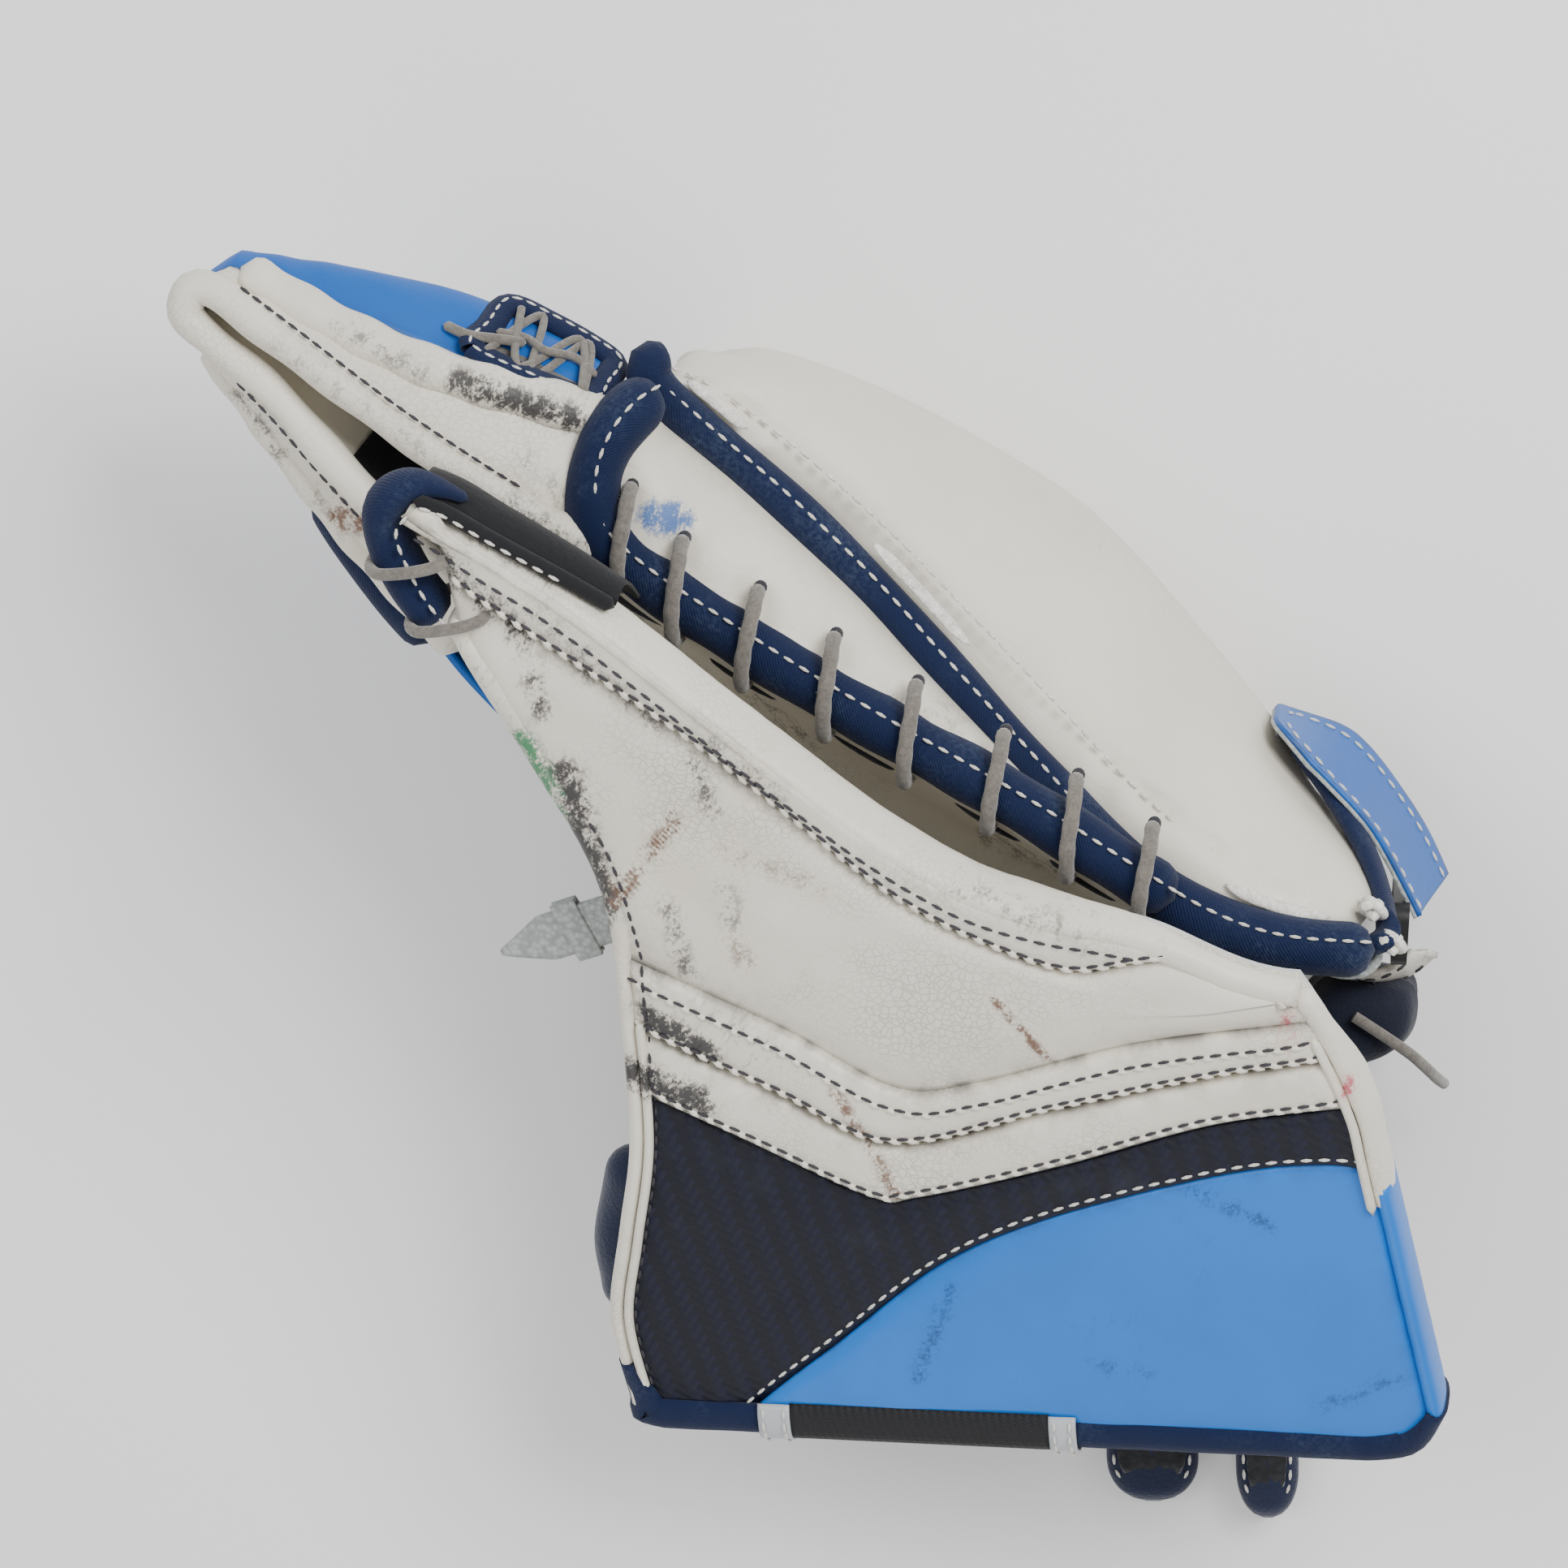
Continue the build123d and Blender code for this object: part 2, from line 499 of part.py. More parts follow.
def wrist_strap():
    """Leather strap with its hook fastener, from the ring at the heel back along the pad."""
    start, through, end = (58.0, 53.5), (90.0, 46.5), (115.3, 32.1)
    PARTS["wrist_strap"] = arc_band(start, through, end, STRAP_LOW, STRAP_WIDTH, STRAP_THICKNESS)
    inner = ThreePointArc(start, through, end)
    hook_end = inner @ 0.5
    hook_mid = inner @ 0.27
    centre = inner.arc_center
    drawn = [centre + (Vector(*p) - centre).normalized() * ((Vector(*p) - centre).length - HOOK_THICKNESS)
             for p in (inner @ 0.04, hook_mid, hook_end)]
    PARTS["strap_hooks"] = arc_band(*[(p.X, p.Y) for p in drawn], STRAP_LOW + 3, STRAP_WIDTH - 6, HOOK_THICKNESS)


def strap_ring():
    """Moulded ring the strap comes from, its leather keeper, and the padded guard behind them."""
    across = Vector(0.47, -0.88)
    frame = Plane(origin=(113.2, 25.8, STRAP_LOW + STRAP_WIDTH / 2), x_dir=across, z_dir=Vector(0.88, 0.47))
    ring = frame * (RectangleRounded(16, STRAP_WIDTH + 10, 4) - RectangleRounded(9, STRAP_WIDTH + 3, 2))
    PARTS["strap_ring"] = extrude(ring, 2, both=True)
    keeper = Plane(origin=(110.5, 14.5, STRAP_LOW + 5), x_dir=across, z_dir=(0, 0, 1))
    tab = keeper * Pos(2, 0) * Rectangle(12, 7)
    PARTS["strap_keeper"] = extrude(tab, STRAP_WIDTH - 10) - PARTS["strap_ring"]
    plan = Polyline((104, -14), (124, -16), (133, 2), (127, 12), (118, 9), (108, 4), (104, -4), close=True)
    PARTS["wrist_guard"] = slab(make_face(plan), 12, 38)


def heel_knots():
    knots = [Pos(101, 32.6, 88) * Sphere(3.2), Pos(109.3, 28, 93) * Sphere(3.2)]
    PARTS["lace_knots"] = Compound(children=[knot - pad for knot in knots])


def pad_lacing():
    """Flat laces on the outside of the pad, along its binding."""
    def flat(x):
        section = pad_section(x)
        low, high = Vector(*section[4]), Vector(*section[5])
        run = (high - low).normalized()
        out = Vector(run.Y, -run.X) if run.Y > 0 else Vector(-run.Y, run.X)
        out = out if out.Y > 0 else out * -1
        base = high - run * 9
        corners = [base, base - run * 5, base - run * 5 + out * 1.4, base + out * 1.4]
        return [(c.X, c.Y) for c in corners]
    strips = [section_loft(span, flat) for span in ((-108, -95), (-50, -40, -18), (70, 92))]
    PARTS["pad_lacing"] = Compound(children=[strip - pad for strip in strips])


# free end of the heel lace, limp, lying on the guard and out over its edge
LACE_TAIL = [(116, -1, 52.3), (131.5, -1.5, 52.3), (139.5, -4, 47), (145, -7, 38), (148, -9, 29)]


def lace_tail():
    points = [Vector(*p) for p in LACE_TAIL]
    radii = []
    for before, here, after in zip(points, points[1:], points[2:]):
        turn = radians((here - before).get_angle(after - here))
        radii.append(0.45 * min((here - before).length, (after - here).length) / tan(turn / 2))
    PARTS["lace_tail"] = tube(LACE_TAIL, radii, LACE / 2)


# ---------------------------------------------------------------- T pocket
UP_ROLL_Y = [(-222, 21), (-200, 19), (-165, 15), (TEE_BASE, 13)]
UP_ROLL_Z = [(-222, 108), (-200, 110), (-165, 110), (TEE_BASE, 108)]
UP_SEAM_Y = [(-222, 27), (-200, 30), (-165, 35), (TEE_BASE, 40)]
UP_SEAM_Z = [(-222, 103), (-200, 101), (-165, 99), (TEE_BASE, 97)]
UP_BULGE_Y = [(-222, 30), (-200, 38), (-165, 48), (TEE_BASE, 50)]
UP_BULGE_Z = [(-222, 94), (-200, 88), (-165, 80), (TEE_BASE, 78)]
KEEL_Y = [(-222, 18), (-200, 18), (-165, 18), (TEE_BASE, 20)]
KEEL_Z = [(-222, 84), (-200, 72), (-165, 60), (TEE_BASE, 56)]
LOW_ROLL_Y = [(-222, 12), (-200, 7), (-165, -5), (TEE_BASE, -15)]
LOW_ROLL_Z = [(-222, 106), (-200, 106), (-165, 104), (TEE_BASE, 103)]
LOW_SEAM_Y = [(-222, 7), (-200, -3), (-165, -18), (TEE_BASE, -30)]
LOW_SEAM_Z = [(-222, 100), (-200, 98), (-165, 94), (TEE_BASE, 92)]
LOW_BULGE_Y = [(-222, 7), (-200, 0), (-165, -16), (TEE_BASE, -28)]
LOW_BULGE_Z = [(-222, 92), (-200, 84), (-165, 74), (TEE_BASE, 70)]
TEE_STATIONS = [TEE_TIP + 8, -200, -165, TEE_BASE - WEB_GAP]
STEM_WIDTH = 10.0
NET_WINDOW = (-158, -137)     # span of the lace net in the outer panel


def at(ys, zs, x, dy=0.0, dz=0.0):
    return along(ys, x) + dy, along(zs, x) + dz


def tee_sheets():
    """White bands beside the roll and blue panels outside them, on both arms of the T."""
    half = STEM_WIDTH / 2 + 0.2
    lines = {
        "tee_band_upper": lambda x: [at(UP_ROLL_Y, UP_ROLL_Z, x), at(UP_SEAM_Y, UP_SEAM_Z, x)],
        "tee_panel_upper": lambda x: [at(UP_SEAM_Y, UP_SEAM_Z, x, 0.3, -0.4), at(UP_BULGE_Y, UP_BULGE_Z, x),
                                      at(KEEL_Y, KEEL_Z, x, half)],
        "tee_band_lower": lambda x: [at(LOW_SEAM_Y, LOW_SEAM_Z, x), at(LOW_ROLL_Y, LOW_ROLL_Z, x)],
        "tee_panel_lower": lambda x: [at(KEEL_Y, KEEL_Z, x, -half), at(LOW_BULGE_Y, LOW_BULGE_Z, x),
                                      at(LOW_SEAM_Y, LOW_SEAM_Z, x, -0.2, -0.5)],
    }
    for name, line in lines.items():
        PARTS[name] = section_loft(TEE_STATIONS, lambda x: thick_line(line(x), TEE_SHEET))


def tee_roll():
    """Rolled edge down one arm, round the tip and back up the other."""
    base, tip = TEE_BASE - WEB_GAP, TEE_TIP + TEE_ROLL
    points = [(base, *at(UP_ROLL_Y, UP_ROLL_Z, base)), (-170, *at(UP_ROLL_Y, UP_ROLL_Z, -170)), (tip, 21.5, 109),
              (tip, 9.5, 107), (-190, *at(LOW_ROLL_Y, LOW_ROLL_Z, -190)), (base, *at(LOW_ROLL_Y, LOW_ROLL_Z, base))]
    roll = tube(points, [90.0, 5.0, 5.0, 60.0], TEE_ROLL)
    base_side = slab(Pos(base + FAR / 2, 0) * Rectangle(FAR, FAR), 0, FAR)
    PARTS["tee_roll"] = roll - base_side
    for name in ("tee_band_upper", "tee_band_lower"):
        PARTS[name] = PARTS[name] - roll
    PARTS["tee_panel_upper"] = PARTS["tee_panel_upper"] - roll - PARTS["tee_band_upper"]
    PARTS["tee_panel_lower"] = PARTS["tee_panel_lower"] - roll - PARTS["tee_band_lower"]


def tee_net():
    """Bound window in the upper panel, the laces across it, and the stem along the keel."""
    start, end = NET_WINDOW
    window = Pos((start + end) / 2, 50, 78) * Box(end - start, 30, 26)
    outside = section_loft([start - 8, start, end, TEE_BASE - WEB_GAP], lambda x: thick_line(
        [at(UP_SEAM_Y, UP_SEAM_Z, x, 3, -4), at(UP_BULGE_Y, UP_BULGE_Z, x), at(KEEL_Y, KEEL_Z, x, 20, 12)], -1.6))
    panel = PARTS["tee_panel_upper"]
    PARTS["tee_binding"] = outside - window - panel
    PARTS["tee_panel_upper"] = panel - window
    strands = []
    for near, far in ((0.15, 0.55), (0.5, 0.2), (0.55, 0.95), (0.95, 0.6)):
        ends = []
        for x, share in ((start - 3, near), (end + 4, far)):
            seam, bulge = at(UP_SEAM_Y, UP_SEAM_Z, x, 3, -4), at(UP_BULGE_Y, UP_BULGE_Z, x)
            run = Vector(*bulge) - Vector(*seam)
            ends.append(Vector(x, seam[0] + run.X * share + LACE, seam[1] + run.Y * share + 2))
        strand = sweep(Plane(ends[0], z_dir=ends[1] - ends[0]) * Circle(LACE / 2), path=Line(*ends))
        strands.append(strand - PARTS["tee_binding"])
    PARTS["pocket_laces"] = Compound(children=strands)
    stem = section_loft(TEE_STATIONS, lambda x: [at(KEEL_Y, KEEL_Z, x, dy, dz) for dy, dz in (
        (-STEM_WIDTH / 2, 0), (STEM_WIDTH / 2, 0), (STEM_WIDTH / 2, TEE_SHEET), (-STEM_WIDTH / 2, TEE_SHEET))])
    PARTS["pocket_stem"] = stem - PARTS["tee_panel_upper"] - PARTS["tee_panel_lower"]


def write_all():
    for name, shape in PARTS.items():
        export_step(shape, f"parts/{name}.step")


board_covers()
board_inside()
rolled_edges()
cuff_tag()
thumb_inside()
adjustment_webbing()
cuff_gusset()
thumb_tip()
bindings()
backhand()
finger_wall()
palm()
spine_fold()
finger_stalls()
edge_lacing()
heel_joint()
wrist_wrap()
wrist_strap()
strap_ring()
heel_knots()
pad_lacing()
lace_tail()
tee_sheets()
tee_roll()
tee_net()
write_all()
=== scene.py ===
"""Looks of the goalie catching glove: leather, bindings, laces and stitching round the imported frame."""
from bisect import bisect_right
from math import cos, exp, pi, radians, sin, sqrt

import bmesh
import bpy
from mathutils import Matrix, Vector, noise
from mathutils.bvhtree import BVHTree
from mathutils.geometry import intersect_line_line_2d
from mathutils.kdtree import KDTree


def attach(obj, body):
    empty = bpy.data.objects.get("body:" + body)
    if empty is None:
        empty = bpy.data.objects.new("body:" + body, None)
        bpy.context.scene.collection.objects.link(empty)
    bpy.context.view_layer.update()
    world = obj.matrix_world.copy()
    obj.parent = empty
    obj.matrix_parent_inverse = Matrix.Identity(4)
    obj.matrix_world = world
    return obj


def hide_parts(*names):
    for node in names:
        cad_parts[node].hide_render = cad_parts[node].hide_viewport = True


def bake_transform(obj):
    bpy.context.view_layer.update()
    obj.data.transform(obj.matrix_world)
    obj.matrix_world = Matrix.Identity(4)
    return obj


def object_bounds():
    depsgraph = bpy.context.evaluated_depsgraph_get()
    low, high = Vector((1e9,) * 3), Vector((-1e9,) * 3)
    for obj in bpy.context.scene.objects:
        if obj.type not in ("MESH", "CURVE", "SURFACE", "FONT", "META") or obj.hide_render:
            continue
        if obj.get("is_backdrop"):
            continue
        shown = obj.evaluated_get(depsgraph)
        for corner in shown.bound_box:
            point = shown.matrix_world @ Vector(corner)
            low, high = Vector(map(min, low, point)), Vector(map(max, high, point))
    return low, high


bl_info = {
    "name": "Goalie catching glove",
    "version": (1, 0, 0),
    "blender": (4, 5, 0),
    "location": "3D View > Sidebar > Glove",
    "description": "Builds the visible leather, fabric and laces of an ice hockey catching glove",
    "category": "Add Mesh",
}

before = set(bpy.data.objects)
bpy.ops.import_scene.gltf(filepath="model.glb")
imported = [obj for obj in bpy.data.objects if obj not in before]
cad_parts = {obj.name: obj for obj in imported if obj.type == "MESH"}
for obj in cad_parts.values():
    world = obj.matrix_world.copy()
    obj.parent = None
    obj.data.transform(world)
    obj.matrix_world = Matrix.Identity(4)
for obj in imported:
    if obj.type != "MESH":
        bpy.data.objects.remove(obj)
CAD_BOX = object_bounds()
MM = 0.001
CLOTH_FRAMES, CLOTH_CELL, CLOTH_PRESSURE = 20, 0.005, 4.0
STALL_LONG, WEBBING_LONG, WEBBING_HALF = 85, 64.0, 6.4
WALL_START, WALL_LONG, PALM_START, PALM_LONG = -122, 176, -111, 161
PAD_START, PAD_END = -125.6, 106.6
SEAM_END = 0.008  # share of a seam that its thread leaves free at each end

# ---------------------------------------------------------------- the board, in its own plane, mm
BOARD = Matrix.Translation((0, 5, 140)) @ Matrix.Rotation(radians(5), 4, "Y") @ Matrix.Rotation(radians(20), 4, "X")
BOARD_UP = (BOARD.to_3x3() @ Vector((0, 0, 1))).normalized()
UNDERSIDE = -16.1
CUFF_DIR = Vector((cos(radians(34)), sin(radians(34)), 0))
CUFF_LEFT = Vector((20, -208, 0))
CUFF_WIDTH = 204.0
CUFF_RIGHT = CUFF_LEFT + CUFF_DIR * CUFF_WIDTH
THUMB_EDGE = [(-151, 5), (-140, -5), (-124, -24), (-98, -41), (-71, -59), (-56, -75), (-43, -95), (-24, -127),
              (-13, -155), (-3, -180)]
LIP_EDGE = [(92, 12), (76, 6), (53, 3), (31, -6), (12, -11), (-11, -11), (-34, -8), (-70, -2), (-107, 4),
            (-151, 5)]
HEEL_EDGE = [(137, -24), (123, -9), (103, 6), (92, 12)]
LIP_SEAM = [(-160, -5), (-126, -9), (-64, -14), (-17, -22), (1, -24), (19, -23), (42, -18), (55, -6), (74, 13),
            (84, 40)]
WELT_SEAM = [(-70, -82), (-51, -79), (-8, -74), (24, -73), (40, -60), (67, -26), (96, 2), (112, 18)]
MID_SEAM = [(-60, -98), (-39, -96), (0, -92), (32, -88), (60, -55), (90, -20), (111, 0), (124, 12)]
NAVY_SEAM = [(-50, -115), (-30, -113), (-3, -110), (35, -106), (45, -99), (69, -70), (95, -35), (122, -9),
             (134, 0)]
BLUE_SEAM = [(34, -225), (43, -179), (50, -152), (60, -113), (76, -83), (103, -48), (121, -31), (135, -24),
             (155, -20)]

# ---------------------------------------------------------------- the finger side and the T, (x, value), mm
BINDING_Y = [(-126, 50), (-102, 44), (-75, 38), (-47, 31), (-18, 22), (11, 14), (39, 7), (62, 6), (83, 10),
             (107, 22)]
BINDING_Z = [(-126, 88), (-102, 80), (-75, 74), (-18, 74), (11, 80), (39, 90), (62, 96), (107, 96)]
PAD_OUT = [(-126, 54), (-118, 58), (-104, 67), (-78, 72), (-43, 74), (-8, 72), (33, 60), (58, 51), (77, 42),
           (96, 36), (107, 33)]
PAD_IN = [(-126, 34), (-104, -14), (-75, -36), (-40, -54), (0, -60), (45, -60), (70, -50), (92, -28), (107, 2)]
LACED_Y = [(-121, 30), (-108, 16), (-78, 12), (-35, 11), (10, 12), (52, 12)]
LACED_Z = [(-121, 97), (-100, 99), (10, 99), (52, 104)]
SPINE_Y = [(-112, -22), (-75, -42), (-40, -61), (0, -79), (50, -80)]
SPINE_Z = [(-112, 96), (-75, 84), (-40, 76), (0, 69), (50, 68)]
BINDING, LACED = (BINDING_Y, BINDING_Z), (LACED_Y, LACED_Z)
PALM_TOP = 62.5
LACE_PLACES = [-104, -86, -65, -42, -19, 5, 27, 48]
TEE_BASE, TEE_TIP = -126.5, -228.5
UP_ROLL_Y = [(-222, 21), (-200, 19), (-165, 15), (-126, 13), (-110, 12.5)]
UP_ROLL_Z = [(-222, 108), (-200, 110), (-165, 110), (-126, 107), (-110, 94)]
UP_SEAM_Y = [(-222, 27), (-200, 30), (-165, 35), (-126, 40), (-110, 42)]
UP_SEAM_Z = [(-222, 103), (-200, 101), (-165, 99), (-126, 96), (-110, 82)]
UP_BULGE_Y = [(-222, 30), (-200, 38), (-165, 48), (-126, 50)]
UP_BULGE_Z = [(-222, 94), (-200, 88), (-165, 80), (-126, 78)]
KEEL_Y = [(-222, 18), (-200, 18), (-165, 18), (-126, 20)]
KEEL_Z = [(-222, 84), (-200, 72), (-165, 60), (-126, 56)]
LOW_ROLL_Y = [(-222, 12), (-200, 7), (-165, -5), (-126, -15)]
LOW_ROLL_Z = [(-222, 106), (-200, 106), (-165, 104), (-126, 103)]
LOW_SEAM_Y = [(-222, 7), (-200, -3), (-165, -18), (-126, -30)]
LOW_SEAM_Z = [(-222, 100), (-200, 98), (-165, 94), (-126, 92)]
LOW_BULGE_Y = [(-222, 7), (-200, 0), (-165, -16), (-126, -28)]
LOW_BULGE_Z = [(-222, 92), (-200, 84), (-165, 74), (-126, 70)]
UP_ROLL, UP_SEAM, UP_BULGE = (UP_ROLL_Y, UP_ROLL_Z), (UP_SEAM_Y, UP_SEAM_Z), (UP_BULGE_Y, UP_BULGE_Z)
LOW_ROLL, LOW_SEAM, LOW_BULGE = (LOW_ROLL_Y, LOW_ROLL_Z), (LOW_SEAM_Y, LOW_SEAM_Z), (LOW_BULGE_Y, LOW_BULGE_Z)
KEEL = (KEEL_Y, KEEL_Z)
# rubbed-in marks: from, to (x, y), width, colour, strength
BLACK, BROWN, GREEN, RED, BLUE = (38, 36, 40), (112, 78, 58), (52, 128, 84), (196, 70, 92), (58, 104, 168)
NIGHT = (14, 52, 96)
MARKS = [((-112, 2), (-92, -3), 5, BLACK, 0.35), ((-86, -32), (-62, -60), 5, BLACK, 0.9),
         ((-40, -80), (-22, -80), 4, BLACK, 0.95), ((-36, -97), (-18, -94), 5, BLACK, 1.0),
         ((-61, -12), (-51, -21), 4, BLACK, 0.5), ((-49, -50), (-36, -64), 4, BLACK, 0.5),
         ((-104, -14), (-99, -20), 4, BLACK, 0.6), ((-38, -38), (-33, -46), 4, BLACK, 0.45),
         ((-140, 2), (-110, -6), 5, BLACK, 0.6), ((-96, -4), (-74, -8), 4, BLACK, 0.45),
         ((-60, -5), (-40, -8), 4, BLACK, 0.4), ((10, -6), (34, -2), 5, BLACK, 0.4),
         ((-158, 32), (-130, 38), 4, BLACK, 0.85), ((-190, 29), (-168, 29), 4, BLACK, 0.4),
         ((-132, 13), (-112, 12), 5, BLACK, 0.5), ((-200, 18), (-150, 14), 5, BLACK, 0.3),
         ((-136, 24), (-122, 20), 4, BLACK, 0.35), ((-168, -14), (-160, -10), 4, BROWN, 0.8),
         ((-204, 0), (-188, -8), 4, BLACK, 0.45), ((-176, -12), (-166, -16), 4, BLACK, 0.35),
         ((-58, -27), (-61, -57), 2.2, BROWN, 0.8), ((31, -27), (50, -35), 1.4, BROWN, 0.8),
         ((10, -72), (38, -90), 2.6, BROWN, 0.6), ((-43, -29), (-20, -24), 4, BROWN, 0.35),
         ((-31, -49), (-26, -52), 5, BROWN, 0.4), ((92, 8), (97, 0), 2.5, RED, 0.5),
         ((113, 1), (115, -2), 2.5, RED, 0.6), ((-99, -30), (-70, -56), 4, GREEN, 0.85),
         ((-101, 27), (-96, 29), 4.5, BLUE, 0.9), ((38, 58), (42, 55), 4, BLACK, 0.4),
         ((-40, 12), (-10, 22), 5, BLACK, 0.3), ((0, 47), (8, 42), 5, BLACK, 0.25),
         ((78, 26), (86, 24), 5, BLACK, 0.35),
         ((62, -106), (67, -134), 3, NIGHT, 0.45), ((98, -47), (119, -44), 3, NIGHT, 0.45),
         ((156, -82), (168, -64), 3, NIGHT, 0.4), ((104, -104), (114, -100), 4, NIGHT, 0.35)]
LACE_TAIL = [(0.116, -0.001, 0.0523), (0.1315, -0.0015, 0.0523), (0.1395, -0.004, 0.047), (0.145, -0.007, 0.038),
             (0.148, -0.009, 0.029)]


def linear(red, green, blue):
    """Screen colour, 0 to 255, as the shader's own values."""
    return tuple(((c / 255 + 0.055) / 1.055) ** 2.4 if c > 10 else c / 255 / 12.92 for c in (red, green, blue))


def colour(name, words, value):
    return bpy.props.FloatVectorProperty(name=name, description=words, subtype="COLOR", size=3, min=0, max=1,
                                         default=value)


def size(name, words, value):
    return bpy.props.FloatProperty(name=name, description=words, default=value, min=0.05, max=30.0)


class GlovePaint(bpy.types.PropertyGroup):
    """Colours of the leathers, fabrics and threads."""
    white: colour("White leather", "Colour of the white leather", linear(231, 225, 211))
    blue: colour("Cuff blue", "Colour of the blue leather on the cuff", linear(4, 114, 208))
    # a darker copy of the cuff blue, with painted shade in it: the T looks darker because it faces away from the light;
    # also used on the wrist strap and the pocket side
    tee_blue: colour("Pocket blue", "Colour of the blue leather of the T and the wrist strap", linear(4, 92, 178))
    navy: colour("Navy binding", "Colour of the binding tape", linear(0, 22, 62))
    panel: colour("Navy panel", "Colour of the woven cuff panel", linear(7, 10, 26))
    lace: colour("Lace", "Colour of the round laces", linear(112, 106, 98))
    pad: colour("Pad white", "Colour of the leather on the backhand pad", linear(232, 226, 211))
    black: colour("Black fabric", "Colour of the lining and wrist wrap", linear(11, 12, 17))
    # colour of the real scuff marks, and also of the painted shade that darkens the leather along its seams
    scuff_and_shade_tint: colour("Scuffs", "Colour of rubbed-in puck and ice marks", linear(52, 50, 54))
    thread: colour("Dark thread", "Colour of the stitching on white leather", linear(52, 50, 56))
    light_thread: colour("Light thread", "Colour of the stitching on navy fabric", linear(214, 212, 204))


class GloveSizes(bpy.types.PropertyGroup):
    """Sizes of the details, in millimetres."""
    puff: size("Puff", "How far the leather swells between seams, mm", 1.6)
    groove: size("Groove", "How deep the seams lie, mm", 1.1)
    stitch: size("Stitch", "Length of one stitch, mm", 3.3)
    stitch_gap: size("Stitch gap", "From one stitch to the next, mm", 4.3)
    thread: size("Thread", "Thickness of the thread, mm", 0.95)
    lace: size("Lace", "Thickness of the round laces, mm", 3.9)
    swell: size("Swell", "How far the cloth of the pad may move, mm", 6.0)


# ---------------------------------------------------------------- lines and surfaces
def through(points, steps=8, closed=False):
    """Points on a smooth line through the given ones."""
    if len(points) < 3:
        return list(points)
    count = len(points)
    made = []
    for i in range(count if closed else count - 1):
        if closed:
            a, b, c, d = (points[(i + k) % count] for k in (-1, 0, 1, 2))
        else:
            a, b, c, d = (points[min(max(i + k, 0), count - 1)] for k in (-1, 0, 1, 2))
        for k in range(steps):
            t = k / steps
            made.append(0.5 * ((2 * b) + (c - a) * t + (2 * a - 5 * b + 4 * c - d) * t * t
                               + (3 * b - a - 3 * c + d) * t ** 3))
    if not closed:
        made.append(points[-1].copy())
    return made


def points_of(pairs):
    return [Vector((*p, 0)) if len(p) == 2 else Vector(p) for p in pairs]


class Route:
    """A line read by its share of the whole length."""

    def __init__(self, points, steps=8, smooth=True, closed=False):
        points = points_of(points)
        self.points = through(points, steps, closed) if smooth else points
        if closed:
            self.points.append(self.points[0].copy())
        self.marks = [0.0]
        for a, b in zip(self.points, self.points[1:]):
            self.marks.append(self.marks[-1] + (b - a).length)
        self.length = self.marks[-1]

    def at(self, share):
        if self.length < 1e-6:
            return self.points[0].copy()
        target = min(max(share, 0.0), 1.0) * self.length
        i = min(bisect_right(self.marks, target), len(self.marks) - 1)
        low, high = self.marks[i - 1], self.marks[i]
        return self.points[i - 1].lerp(self.points[i], (target - low) / max(high - low, 1e-9))

    def heading(self, share):
        step = 0.8 / max(self.length, 1e-6)
        run = self.at(share + step) - self.at(share - step)
        return run.normalized() if run.length > 1e-9 else Vector((1, 0, 0))


def along(stations, x):
    """Value at x on a smooth line through the (x, value) stations."""
    xs = [s[0] for s in stations]
    i = min(max(bisect_right(xs, x), 1), len(xs) - 1)

    def slope(k):
        low, high = max(k - 1, 0), min(k + 1, len(xs) - 1)
        return (stations[high][1] - stations[low][1]) / (xs[high] - xs[low])

    (xa, a), (xb, b) = stations[i - 1], stations[i]
    run = xb - xa
    t = min(max((x - xa) / run, 0.0), 1.0)
    return ((2 * t ** 3 - 3 * t * t + 1) * a + (t ** 3 - 2 * t * t + t) * slope(i - 1) * run
            + (3 * t * t - 2 * t ** 3) * b + (t ** 3 - t * t) * slope(i) * run)


def station(line, x, dy=0.0, dz=0.0):
    """The point at x on a line held as its y and z stations."""
    return Vector((x, along(line[0], x) + dy, along(line[1], x) + dz))


def smoothstep(low, high, x):
    t = min(max((x - low) / (high - low), 0.0), 1.0)
    return t * t * (3 - 2 * t)


def squared(share, power):
    """A sine or cosine pushed out towards the corner of a square."""
    return abs(share) ** power * (1 if share > 0 else -1)


def on_board(u, v, w):
    return BOARD @ Vector((u, v, w))


def mark_at(point):
    """Colour of the rubbed-in mark at a point, and its strength."""
    best = (0.0, 0.0, 0.0, 0.0)
    if point.z < 60:
        return best
    for start, end, width, tint, strength in MARKS:
        start, run = Vector(start), Vector(end) - Vector(start)
        share = min(max((point.xy - start).dot(run) / run.length_squared, 0.0), 1.0)
        far = (point.xy - start - run * share).length / width
        if far < 2.2 and strength * exp(-far * far) > best[3]:
            best = (*linear(*tint), strength * exp(-far * far))
    return best


def surface(place, columns, rows, span=(1.0, 1.0), edge=None):
    """A grid of columns by rows laid out by place(s, t), with a UV map in mm and how near each point is to a seam."""
    bm = bmesh.new()
    uv = bm.loops.layers.uv.new("UVMap")
    near = bm.verts.layers.float.new("seam")
    mark = bm.verts.layers.float_color.new("mark")
    rub = bm.verts.layers.float.new("rub")
    bmesh.ops.create_grid(bm, x_segments=columns, y_segments=rows, size=0.5)
    shares = {vert: (vert.co.x + 0.5, vert.co.y + 0.5) for vert in bm.verts}
    for face in bm.faces:
        face.smooth = True
        for loop in face.loops:
            s, t = shares[loop.vert]
            loop[uv].uv = (s * span[0], t * span[1])
    for vert, (s, t) in shares.items():
        vert.co = place(s, t)
        vert[near] = edge(s, t) if edge else 0.0
        found = mark_at(vert.co)
        vert[mark], vert[rub] = (*found[:3], 1.0), found[3]
    bmesh.ops.remove_doubles(bm, verts=bm.verts, dist=0.02)
    return bm


def closed(bm):
    bmesh.ops.recalc_face_normals(bm, faces=bm.faces)
    return bm


